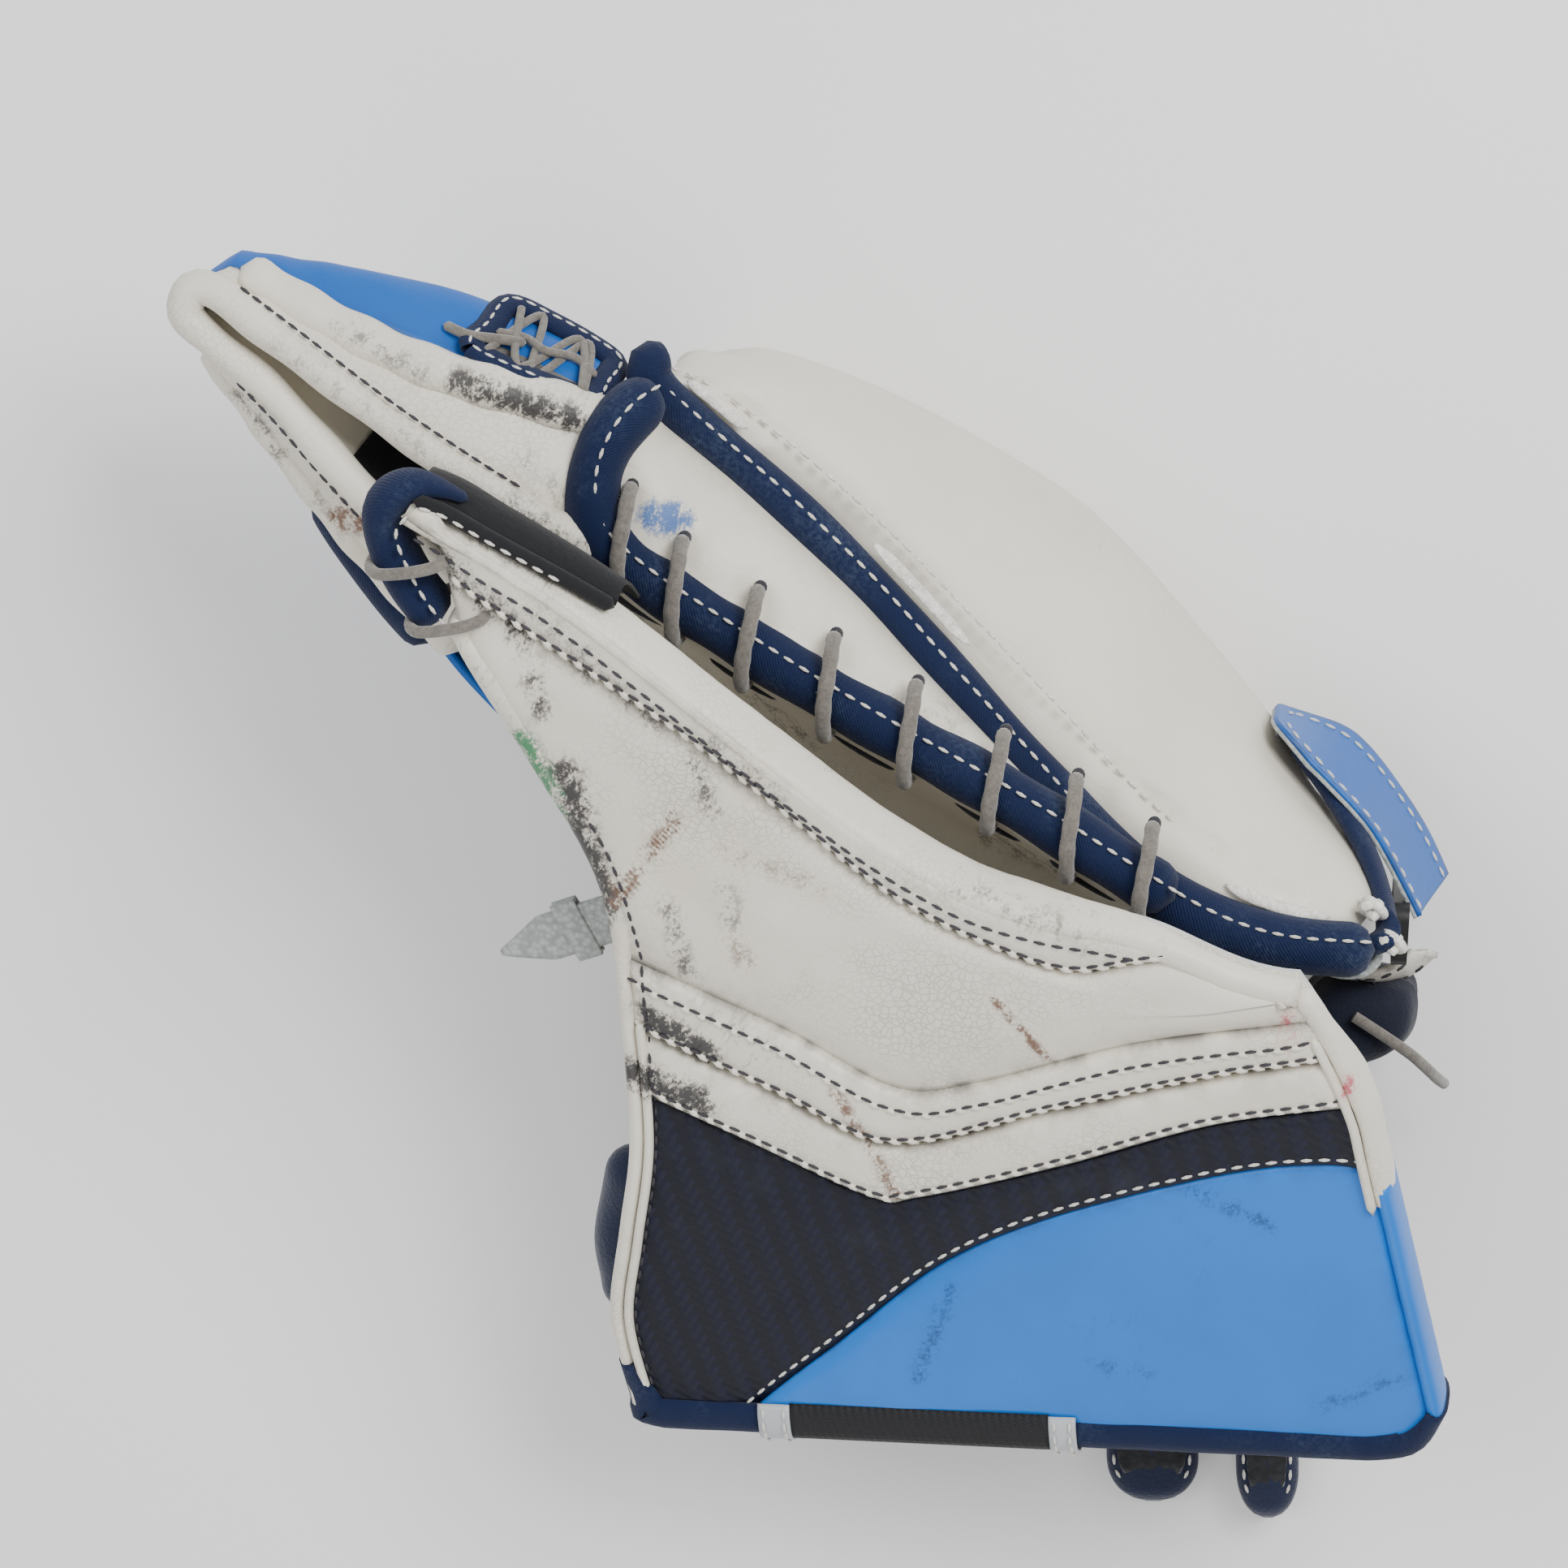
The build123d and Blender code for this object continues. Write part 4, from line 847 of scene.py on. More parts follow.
def rim(points, out, reach_in, top, low_at):
    """A rolled edge along a stretch of the board's outline, in board mm; two of its sizes may vary along it."""
    route = Route(points, smooth=False)
    rows = max(8, int(route.length / 2.5))

    def place(s, t):
        p, run = route.at(t), route.heading(t)
        inn = reach_in(p) if callable(reach_in) else reach_in
        low = low_at(p) if callable(low_at) else low_at
        turn = 2 * pi * s
        a, b = squared(cos(turn), 0.75), squared(sin(turn), 0.75)
        middle = (out + inn) / 2
        reach = middle + a * (out - inn) / 2
        fade = min(1.0, min(t, 1 - t) * route.length / 3.0)
        grown = sqrt(max(0.0, 1 - (1 - fade) ** 2))
        p = p + Vector((run.y, -run.x, 0)) * (middle + (reach - middle) * grown)
        wave = 0.4 * noise.noise(Vector((p.x, p.y, 3.0)) * 0.06) + 0.3 * noise.noise(Vector((p.x, p.y, 9.0)) * 0.2)
        return on_board(p.x, p.y, (top + low) / 2 + (b * (top - low) / 2) * grown + wave)

    return closed(surface(place, 18, rows, (36, route.length)))


class GLOVE_OT_board_edges(GloveStep, bpy.types.Operator):
    """Rolled lip, pipings, cuff end binding, tag and tabs"""
    bl_idname = "glove.board_edges"
    bl_label = "Board edges"

    def build(self, sizes):
        worn = "white_worn"
        thumb_start = next(i for i, p in enumerate(LOOP) if p.x > -120 and p.y < 0)
        lip_start = STARTS[5] - 1
        lip = LOOP[lip_start:] + LOOP[:2]
        thin = rim(lip, 0.3, -6.5, 1.0, lambda p: -15.5 + 9.5 * smoothstep(20, 70, p.x))
        piece("rolled_lip", thin, worn, "thumb_side", ["lip_roll"])
        thumb = LOOP[thumb_start - 4:STARTS[1] + 3]
        full = rim(thumb, 0.4, lambda p: -4.6 - 6.0 * smoothstep(-84, -66, p.y) * smoothstep(-132, -112, p.x), 1.0,
                   -15.5)
        piece("thumb_edge_roll", full, worn, "thumb_side", ["thumb_edge_piping"])
        turn = next(i for i in range(STARTS[4], STARTS[5]) if LOOP[i].y > -25)
        piece("heel_edge_roll",
              rim(LOOP[turn - 1:STARTS[5] + 1], 0.3, -5.2, 0.5, lambda p: -14.5 + 9 * smoothstep(-6, 8, p.y)), worn,
              "thumb_side", ["heel_edge_piping"])
        piece("heel_edge_blue", rim(LOOP[STARTS[3]:turn + 1], 0.3, -4.6, 0.55, -14.8), "blue", "thumb_side")
        inner = inset(LOOP, 5.4)
        for name, stretch in (("thumb_edge_welt", inner[thumb_start + 22:STARTS[1] + 2]),
                              ("heel_edge_welt", inner[turn - 1:STARTS[5] - 5])):
            points = [on_board(p.x, p.y, 0.3) for p in stretch]
            piece(name, tube(Route(points), 1.25, 8, 2.5, up=BOARD_UP), worn, "thumb_side")
        self.binding()
        self.tag(sizes)
        seam = inset(LOOP, 7.2)
        runs = [[on_skin(p.x, p.y, 0.2) for p in part] for part in (
            seam[thumb_start + 8:STARTS[1] + 1], seam[STARTS[5] + 12:])]
        stitches("edge_stitching", [Route(r) for r in runs], "dark_thread", "thumb_side", sizes)

    def binding(self):
        """Tape folded over the cuff end, from corner to corner."""
        profile = Route([(-10.4, 0.4), (-9.4, 1.3), (-5.6, 1.8), (-1.8, 1.2), (0.6, -2.0), (0.9, -8), (0.3, -14),
                         (-2, -17.2), (-8, -17.6), (-13, -17.2), (-13.3, -16.0), (-3.5, -15.0), (-2.6, -8),
                         (-3.5, -1.6), (-10.2, -0.8)], closed=True, steps=3)
        stretch = LOOP[STARTS[1] - 3:STARTS[3] + 9]
        route = Route(stretch, smooth=False)

        def place(s, t):
            p, run = route.at(t), route.heading(t)
            a = profile.at(s)
            near = min(t, 1 - t) * route.length
            pull = smoothstep(0.0, 16.0, near)
            reach = max(a.x, -4.0) * (1 - pull) + a.x * (1.0 - 0.22 * t) * pull if a.x < -4 else a.x
            p = p + Vector((run.y, -run.x, 0)) * reach
            return on_board(p.x, p.y, a.y + 0.2 * noise.noise(p * 0.08))

        bm = surface(place, 46, int(route.length / 3), (profile.length, route.length))
        piece("cuff_end_tape", capped(bm), "navy", "thumb_side", ["cuff_end_binding"])

    def tag(self, sizes):
        """Bare woven tag and the two grey tabs, wrapped over the tape."""
        profile = Route([(-11.4, 1.2), (-9.4, 2.3), (-5.6, 2.8), (-1.5, 2.3), (1.5, -1.6), (1.9, -8), (1.4, -13.5)],
                        steps=6)
        bits = (("bare_tag", 42.0, 68.0, "tag", ["woven_tag"], 0.0),
                ("tab_left", 33.5, 8.5, "tab", ["tag_tabs"], 0.35),
                ("tab_right", 110.0, 7.0, "tab", [], 0.35))
        for name, start, length, look, stands_for, lift in bits:
            def place(s, t):
                a = profile.at(t)
                p = CUFF_LEFT + CUFF_DIR * (start + s * length) + Vector((CUFF_DIR.y, -CUFF_DIR.x, 0)) * (a.x + lift)
                ripple = 0.25 * sin(s * length * 0.9) * exp(-min(s, 1 - s) * length / 3)
                return on_board(p.x, p.y, a.y + lift * 0.6 + ripple * 0.4)
            bm = facing(surface(place, max(8, int(length / 1.5)), 20, (length, profile.length)), BOARD_UP)
            piece(name, bm, look, "thumb_side", stands_for, thick=0.7)
        rows = []
        for start in (35.0, 111.5, 40.5, 115.5):
            rows.append(Route([on_board(*(CUFF_LEFT + CUFF_DIR * start + Vector((CUFF_DIR.y, -CUFF_DIR.x, 0))
                                          * (profile.at(t).x + 0.5)).xy, profile.at(t).y + 0.7)
                               for t in (0.02, 0.25, 0.5, 0.75, 0.98)]))
        stitches("tab_stitching", rows, "light_thread", "thumb_side", sizes, 3.4, slot="reflective_tab")


class GLOVE_OT_thumb_tip(GloveStep, bpy.types.Operator):
    """Binding round the thumb tip, its lacing and the grey adjustment webbing"""
    bl_idname = "glove.thumb_tip"
    bl_label = "Thumb tip"

    def build(self, sizes):
        path = [(-138.5, 10.6), (-145, 9.6), (-150.5, 7.4), (-154.0, 3), (-154.6, -3), (-150, -10), (-141, -17.2),
                (-130, -22.5)]
        route = Route([on_board(x, y, -6.6) for x, y in path])
        bm = tube(route, lambda t: 1.3 + 4.2 * smoothstep(0.0, 0.42, t), 20, 1.6, flat=1.42, up=BOARD_UP)
        piece("thumb_tip_tape", bm, "navy", "thumb_side", ["thumb_tip_binding"])
        line = Route([(-150, 6.2, -1.2), (-142, 7.6, -1.4), (-131, 7.2, -2), (-120, 7.0, -2.6), (-108, 6.6, -3.6),
                      (-96, 5.6, -5)])
        edge = Route([on_board(*p) for p in line.points], smooth=False)
        piece("thumb_mouth_piping", tube(edge, 1.9, 12, 1.8, up=BOARD_UP), "black", "thumb_side")

        # black lining sheet hung in the thumb's mouth; it also stands in for the shade in the gap between the thumb and
        # the T's roll
        def hanging(s, t):
            p = line.at(s)
            low = on_board(p.x, p.y + 0.9, -17.0)
            foot = Vector((low.x + 4 * s, 8 - 2 * s, 98 - 4 * s))
            return Route([on_board(p.x, p.y, p.z - 1.5), low, foot], steps=6).at(t)

        obj = piece("thumb_mouth_lining_and_shade", facing(surface(hanging, 30, 24, (60, 50)), Vector((0, 1, 0))), "black",
                    None, thick=1.0)
        keep(obj)
        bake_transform(obj)
        seam = [on_board(x, y, w) for x, y, w in ((-149.2, 3.6, 1.25), (-149.6, -2.6, 1.35), (-144.5, -8.4, 1.3),
                                                 (-136.5, -14.6, 1.1), (-127.5, -19.4, 0.8))]
        mouth = [on_board(*p) for p in ((-148.6, 6.2, 0.9), (-142, 7.6, 0.7), (-131, 7.2, 0.1), (-120, 7.0, -0.5),
                                        (-110, 6.7, -1.4))]
        stitches("thumb_tip_stitching", [Route(seam), Route(mouth)], "light_thread", "thumb_side", sizes)
        loops = []
        for hole, edge in (((-136.4, -3.6), (-150.2, -15.4)), ((-121.6, -11.6), (-135.2, -24.2))):
            hole, edge = Vector((*hole, 0)), Vector((*edge, 0))
            out = (hole - edge).normalized()
            wide = (hole - edge).length
            spots = ((wide, -1.5), (wide - 1.5, 2.2), (wide * 0.66, 3.8), (wide * 0.33, 3.9), (1.5, 2.6), (-1.4, -2.5),
                     (-1.2, -12), (3, -17.5), (wide * 0.6, -18.5), (wide, -15))
            loops.append(Route([on_board(*(edge + out * a).xy, b) for a, b in spots], closed=True))
        made = [tube(route, 1.5, 10, 1.4, loop=True, up=(0.3, 0.2, 1)) for route in loops]
        for name, bm, stands in (("thumb_lace_upper", made[0], ["thumb_lacing"]), ("thumb_lace_lower", made[1], [])):
            piece(name, bm, "lace", "thumb_side", stands)
        self.webbing()

    def webbing(self):
        place_on = BOARD @ Matrix.Translation((-75, -108, 0)) @ Matrix.Rotation(radians(54), 4, "Z")

        def place(s, t):
            x = WEBBING_LONG * t
            half = WEBBING_HALF * min(1.0, 0.12 + x / 15.0)
            curl = 0.5 * sin(x * 0.25) * exp(-x / 30)
            return place_on @ Vector((x, (s - 0.5) * 2 * half, -16.9 + curl * 0.5))

        bm = facing(surface(place, 8, 40, (10, WEBBING_LONG)), BOARD_UP)
        piece("grey_webbing_end", bm, "webbing", "adjust_strap", ["adjustment_webbing"], thick=1.4)
        ring = Route([(-7.6, -16.4), (7.6, -16.4), (7.9, -17.6), (7.2, -19.2), (-7.2, -19.2), (-7.9, -17.6)],
                     closed=True)

        def wrapped(s, t):
            p = ring.at(s)
            return place_on @ Vector((18.6 + 6.8 * t, p.x, p.y))

        piece("webbing_guide", closed(surface(wrapped, 40, 8, (46, 7))), "webbing", "thumb_side", ["webbing_loop"],
              thick=0.7, slot="black_fabric")


class GLOVE_OT_board_inside(GloveStep, bpy.types.Operator):
    """Lining, thumb stall, pocket leather and padded roll under the board"""
    bl_idname = "glove.board_inside"
    bl_label = "Under the board"

    def build(self, sizes):
        lip = Route((INNER[STARTS[5]:] + INNER[:1])[::-1], smooth=False)
        thumb = Route(INNER[:STARTS[2]], smooth=False)
        cuff = Route(INNER[STARTS[2] - 1:STARTS[3] + 3], smooth=False)
        heel = Route(INNER[STARTS[3] + 2:STARTS[5] + 1][::-1], smooth=False)
        under = patch(lip, cuff, thumb, heel)

        def place(s, t):
            p = under(s, t)
            quilt = 0.7 * abs(sin((p.x + p.y) * 0.16) * sin((p.x - p.y) * 0.16))
            inwards = 0.8 if p.y < -12 else 0.0
            return on_board(p.x, p.y - 2.5 + inwards, UNDERSIDE + 1.2 - quilt)

        bm = facing(surface(place, 90, 70, (300, 200)), -BOARD_UP)
        piece("quilted_lining", bm, "lining", "thumb_side", ["cuff_lining"], thick=1.0)
        side = through(points_of([(-120, -6), (-104, -30), (-60, -50), (0, -52), (48, -52)]), 6)
        edge = through(points_of([(-120, -6), (-70, -12), (-34, -20), (30, -14), (48, -8)]), 6)
        pocket = patch(Route(edge, smooth=False), Route(side, smooth=False), Route([edge[0]] * 2, smooth=False),
                       Route([edge[-1], side[-1]], smooth=False))

        def pleated(s, t):
            p = pocket(s, t)
            return on_board(p.x, p.y, UNDERSIDE - 1.5 - 0.5 * noise.noise(p * 0.09) * (1 - abs(2 * t - 1) ** 4))

        bm = facing(surface(pleated, 60, 18, (168, 40)), -BOARD_UP)
        piece("thumb_pocket_leather", bm, "palm", "thumb_side", ["thumb_liner"], thick=0.8, slot="pocket_leather")
        self.stall()
        self.gusset()

    def stall(self):
        """Sleeve for the thumb, sewn flat under the board."""
        half, deep = 16.0, 20.0
        arch = Route([(-half - 2, 0.0), (-half, -2), (-half + 0.5, -deep * 0.7), (-half * 0.62, -deep),
                      (half * 0.62, -deep), (half - 0.5, -deep * 0.7), (half, -2), (half + 2, 0.0)], steps=5)

        def place(s, t):
            a = arch.at(t)
            pinch = 1 - 0.06 * exp(-min(s, 1 - s) * STALL_LONG / 3)
            return on_board(-25 + STALL_LONG * s, -73 + a.x * pinch, UNDERSIDE - 0.2 + a.y * pinch
                            + 0.3 * noise.noise(Vector((s * 9, t * 6, 1))))

        bm = facing(surface(place, 44, 36, (STALL_LONG, 70)), -BOARD_UP)
        piece("thumb_stall_sleeve", bm, "palm", "thumb_side", ["thumb_stall"], thick=2.4, slot="pocket_leather")

    def gusset(self):
        route = Route([on_board(-17, -145, UNDERSIDE - 6.4), on_board(-11, -168, UNDERSIDE - 6.8),
                       on_board(3, -191, UNDERSIDE - 6.4)])
        bm = tube(route, lambda t: 7.3 + 0.35 * sin(t * 13), 20, 1.5, up=BOARD_UP)
        obj = piece("cuff_side_roll", bm, "navy_soft", "thumb_side", ["cuff_gusset"])


# ---------------------------------------------------------------- finger side
def pad_line(x):
    """Closed section of the backhand pad at x."""
    top_y, top_z = along(BINDING_Y, x), along(BINDING_Z, x)
    out, back = along(PAD_OUT, x), along(PAD_IN, x)
    shoulder = top_y + 9
    wide = out - shoulder
    run = [(back, 1.0), (back + 4, 0.0), (max(back + 8, out - 24), 0.0), (out - 7, 9), (out - 1, 24), (out - 1, 36),
           (out - 0.12 * wide, 0.36 * top_z + 15), (out - 0.40 * wide, 0.69 * top_z + 12),
           (shoulder + 0.2 * wide, 0.9 * top_z + 7), (shoulder, top_z + 0.5), (top_y + 4, top_z - 2.0),
           (top_y - 3, top_z - 9), (top_y - 5, 32), (top_y - 9, 27), (back + 3, 27), (back, 24)]
    return [(x, y, z) for y, z in run]


def swell(obj, sizes):
    """Blows the cloth of a pad up inside its seams, and keeps the result."""
    reach = sizes.swell * MM
    mesh = obj.modifiers.new("Cells", "REMESH")
    mesh.mode, mesh.voxel_size, mesh.use_smooth_shade = "VOXEL", CLOTH_CELL, True
    keep(obj)
    start = [v.co.copy() for v in obj.data.vertices]
    cloth = obj.modifiers.new("Cloth", "CLOTH")
    cloth.settings.use_pressure = True
    cloth.settings.uniform_pressure_force = CLOTH_PRESSURE
    cloth.settings.effector_weights.gravity = 0.0
    cloth.point_cache.frame_start, cloth.point_cache.frame_end = 1, CLOTH_FRAMES
    for step in range(1, CLOTH_FRAMES + 1):
        bpy.context.scene.frame_set(step)
    keep(obj)
    for vertex, home in zip(obj.data.vertices, start):
        move = vertex.co - home
        if move.length > reach:
            vertex.co = home + move.normalized() * reach
    bpy.context.scene.frame_set(1)


def keep(obj):
    """Makes an object's modifiers part of its mesh."""
    bpy.context.view_layer.update()
    finished = bpy.data.meshes.new_from_object(obj.evaluated_get(bpy.context.evaluated_depsgraph_get()))
    obj.modifiers.clear()
    old = obj.data
    obj.data = finished
    bpy.data.meshes.remove(old)


def lay_marks(mesh):
    """Lays the rubbed-in marks on a mesh that lost them."""
    tints = mesh.attributes.get("mark") or mesh.attributes.new("mark", "FLOAT_COLOR", "POINT")
    rubs = mesh.attributes.get("rub") or mesh.attributes.new("rub", "FLOAT", "POINT")
    for vertex, tint, rub in zip(mesh.vertices, tints.data, rubs.data):
        found = mark_at(vertex.co / MM)
        tint.color, rub.value = (*found[:3], 1.0), found[3]


def press(obj, lines, depth, width, pucker=0.0):
    """Sinks seams into a padded piece, deeper where the thread pulls."""
    tree = KDTree(sum(len(line) for line in lines))
    for count, point in enumerate(point for line in lines for point in line):
        tree.insert(point, count)
    tree.balance()
    normals = [v.normal.copy() for v in obj.data.vertices]
    for vertex, normal in zip(obj.data.vertices, normals):
        _, index, far = tree.find(vertex.co / MM)
        if far < width * 4:
            pull = 1 + pucker * sin(index * 1.15)
            vertex.co -= normal * (depth * MM * exp(-(far / width) ** 2) * pull)


def pad_seam(share, low=-118, high=100, lift=0.0):
    """Points on the pad's outer face, at a share of the way from its binding to its far side."""
    points = []
    for i in range(70):
        x = low + (high - low) * i / 69
        line = Route(pad_line(x)[3:11][::-1])
        points.append(line.at(share) + Vector((0, 0.6, 0.8)).normalized() * lift)
    return points


class GLOVE_OT_pad(GloveStep, bpy.types.Operator):
    """Padded shell over the backs of the fingers"""
    bl_idname = "glove.pad"
    bl_label = "Backhand pad"

    def build(self, sizes):
        long = PAD_END - PAD_START
        tucked = 1.8

        def place(s, t):
            x = PAD_START + long * t
            near = min(t, 1 - t) * long
            line = Route(pad_line(x), closed=True, steps=6)
            p = line.at(s)
            heart = Vector((x, along(BINDING_Y, x) + 14, 40))
            grown = max(0.015, sqrt(1 - (1 - near / 12) ** 2)) if near < 12 else 1.0
            p = heart.lerp(p, grown)
            return p + (heart - p).normalized() * tucked

        bm = surface(place, 84, 90, (380, long))
        obj = piece("backhand_pad", capped(bm), "pad_white", "finger_side",
                    ["backhand_pad_cover", "backhand_pad_foam"])
        seam = Route([p + Vector((0, 0.1, 0.2)) for p in pad_seam(0.17, lift=-1.2)])
        stitches("pad_seam_thread", [seam], "white_lace", "finger_side", sizes, slot="white_leather")
        swell(obj, sizes)
        lay_marks(obj.data)
        obj.data.shade_smooth()
        finer = obj.modifiers.new("Rounding", "SUBSURF")
        finer.levels = finer.render_levels = 1
        keep(obj)
        press(obj, [pad_seam(0.17)], 2.8, 2.2, 0.5)
        obj.data.materials.clear()
        obj.data.materials.append(LOOKS["pad_white"])
        self.ties()

    def ties(self):
        """Flat white laces that show beside the binding."""
        stands = ["pad_lacing"]
        for name, low, high in (("pad_lace_tip", -112, -92), ("pad_lace_middle", -52, -16), ("pad_lace_heel", 66, 94)):
            points = pad_seam(0.10, low, high, 0.5)
            bm = tube(Route(points[::6]), lambda t: 1.7 * min(1.0, 0.35 + 4 * min(t, 1 - t)), 10, 1.5, flat=0.5,
                      up=(0, 0.6, 0.8))
            piece(name, bm, "white_lace", "finger_side", stands)
            stands = []


def binding_points(low, high, count, dy=4.0, dz=1.0):
    return [station(BINDING, low + (high - low) * i / (count - 1), dy, dz) for i in range(count)]


def laced_points():
    """Middle of the laced edge's binding, with its turn over the pocket."""
    points = [station(LACED, x) for x in (57, 40, 20, 0, -25, -50, -75, -96)]
    return points + points_of([(-110, 16.5, 100), (-117.2, 25, 101.5), (-120, 36, 101), (-119, 46, 98),
                               (-115.5, 53, 93)])


class GLOVE_OT_bindings(GloveStep, bpy.types.Operator):
    """Rolled navy bindings round the pad and along the laced edge, and the padded wall between them"""
    bl_idname = "glove.bindings"
    bl_label = "Bindings and wall"

    def build(self, sizes):
        route = Route([(-118.5, 60.5, 83.5), (-121.5, 56, 87)] + binding_points(-116, 106, 16))
        bm = tube(route, lambda t: 5.5 + 1.7 * smoothstep(0.55, 0.8, t) + 0.25 * sin(t * 31), 18, 2.0)
        piece("pad_tape", bm, "navy", "finger_side", ["backhand_binding"])
        behind = Route([(105, 25, 95), (107, 29, 86), (102, 34.5, 74), (93, 40.5, 62), (80, 46.5, 54), (66, 52, 50)])
        piece("heel_back_tape", tube(behind, 2.7, 14, 2.0, flat=2.2), "navy", "finger_side")
        edge = Route(laced_points())
        piece("laced_tape", tube(edge, lambda t: 7.0 + 0.3 * sin(t * 47 + 1), 20, 2.0), "navy", "finger_side",
              ["laced_edge_binding"])
        upper = Route([p + Vector((0, 0.52, 0.86)) * (5.75 + 1.8 * smoothstep(10, 60, p[0]))
                       for p in binding_points(-119, 104, 30)])
        inner = Route([p + Vector((0, 0.45, 0.9)) * 7.4 for p in laced_points()])
        stitches("binding_stitching", [upper, inner], "light_thread", "finger_side", sizes)
        self.wall()

    def wall(self):
        """Puffy white leather between the pad's binding and the laced edge."""
        holes = [x - 5.5 for x in LACE_PLACES]

        def place(s, t):
            x = WALL_START + WALL_LONG * s
            top = station(BINDING, x, 1.0, 2.0)
            lace = station(LACED, x, 3.5, 3.0)
            if x < -108:
                lace.y += (x + 108) ** 2 * 0.05
            mid = top.lerp(lace, 0.5) + Vector((0, 2.0, 6.5)) * smoothstep(57, 20, x)
            p = Route([top, mid, lace], steps=8).at(t)
            puckers = sum(exp(-((x - h) / 4.5) ** 2) for h in holes) * exp(-((0.78 - t) * 26 / 6) ** 2)
            wrinkle = 0.5 * noise.noise(Vector((x * 0.05, t * 2.0, 4.0))) * sin(pi * t)
            return p + Vector((0, 0.3, 0.9)) * (wrinkle * 2 - puckers * 2.2)

        def edge(s, t):
            return max(exp(-(1 - t) * 26 / 3), exp(-t * 26 / 3))

        bm = facing(surface(place, 120, 26, (WALL_LONG, 30), edge), Vector((0, 0.3, 1)))
        piece("wall_leather", bm, "soft_white", "finger_side", ["finger_wall"], thick=2.0)

        def inside(s, t):
            x = -104 + 156 * s
            lace = station(LACED, x, -1, -5)
            foot = Vector((x, along(BINDING_Y, x) - 15.5, 30))
            return lace.lerp(foot, t) + Vector((0, -1.2 * sin(pi * t), 0))

        bm = facing(surface(inside, 70, 24, (156, 70)), Vector((0, -1, 0)))
        piece("wall_inner_leather", bm, "palm", "finger_side", thick=1.6)


class GLOVE_OT_lacing(GloveStep, bpy.types.Operator):
    """Furry grey laces over the laced edge, and the knots at the heel"""
    bl_idname = "glove.lacing"
    bl_label = "Lacing"

    def build(self, sizes):
        stands = ["edge_lacing"]
        for number, x in enumerate(LACE_PLACES):
            spots = self.spots(number, x)
            bm = tube(Route(spots), lambda t: sizes.lace / 2 * (1 + 0.06 * sin(t * 40)), 10, 1.3, up=(1, 0.2, 0.1))
            piece(f"edge_lace_{number + 1}", bm, "lace", "finger_side", stands)
            stands = []
            under = spots[0] + Vector((0, 0.4, -0.8))
            hole = tube(Route([under, under + Vector((0.3, 0.6, 1.6))]), 2.3, 12, 0.8, up=(1, 0.2, 0.1))
            piece(f"lace_hole_{number + 1}", hole, "lining", "finger_side")
        self.knots()
        self.fluff(sizes)

    def spots(self, number, x):
        """One loop's route, from its hole in the wall over the binding to the mouth."""
        y, z = along(LACED_Y, x), along(LACED_Z, x)
        if x < -100:
            y += 2.5
        lean = 5.6 + 0.7 * sin(number * 2.3)
        shape = ((-1.0, 13.2, 0.4), (-0.85, 11.8, 5.2), (-0.45, 6.5, 8.7), (0.0, -0.5, 9.1), (0.5, -6.6, 6.6),
                 (0.75, -9.9, -0.5), (0.8, -8.4, -7.5))
        return [Vector((x + lean * a, y + b, z + c)) for a, b, c in shape]

    def knots(self):
        """Two small overhand knots of white lace."""
        stands = ["lace_knots"]
        for name, middle in (("heel_knot_left", (101, 32.6, 89)), ("heel_knot_right", (109.0, 28.5, 93))):
            middle = Vector(middle)
            spots = []
            for i in range(14):
                a = 2 * pi * i / 14 * 2
                spots.append(middle + Vector((2.1 * cos(a) + 0.9 * cos(a * 1.5), 1.6 * sin(a), 2.0 * sin(a * 1.5))))
            bm = tube(Route(spots, closed=True), 1.25, 8, 1.0, loop=True, up=(0.2, 0.3, 1))
            piece(name, bm, "white_lace", "finger_side", stands)
            stands = []

    def fluff(self, sizes):
        """Short loose fibres that stand off the laces."""
        bm = bmesh.new()
        for number, x in enumerate(LACE_PLACES):
            route = Route(self.spots(number, x)[:6])
            for i in range(70):
                key = number * 100 + i
                out = Vector((sin(key * 12.9), sin(key * 78.2 + 1), abs(sin(key * 37.7)))).normalized()
                add_bits(bm, [(route.at((i + 0.5) / 70) + out * (sizes.lace / 2), out)], 1.5, 0.14, (3, 2))
        piece("lace_fluff", bm, "lace", "finger_side")


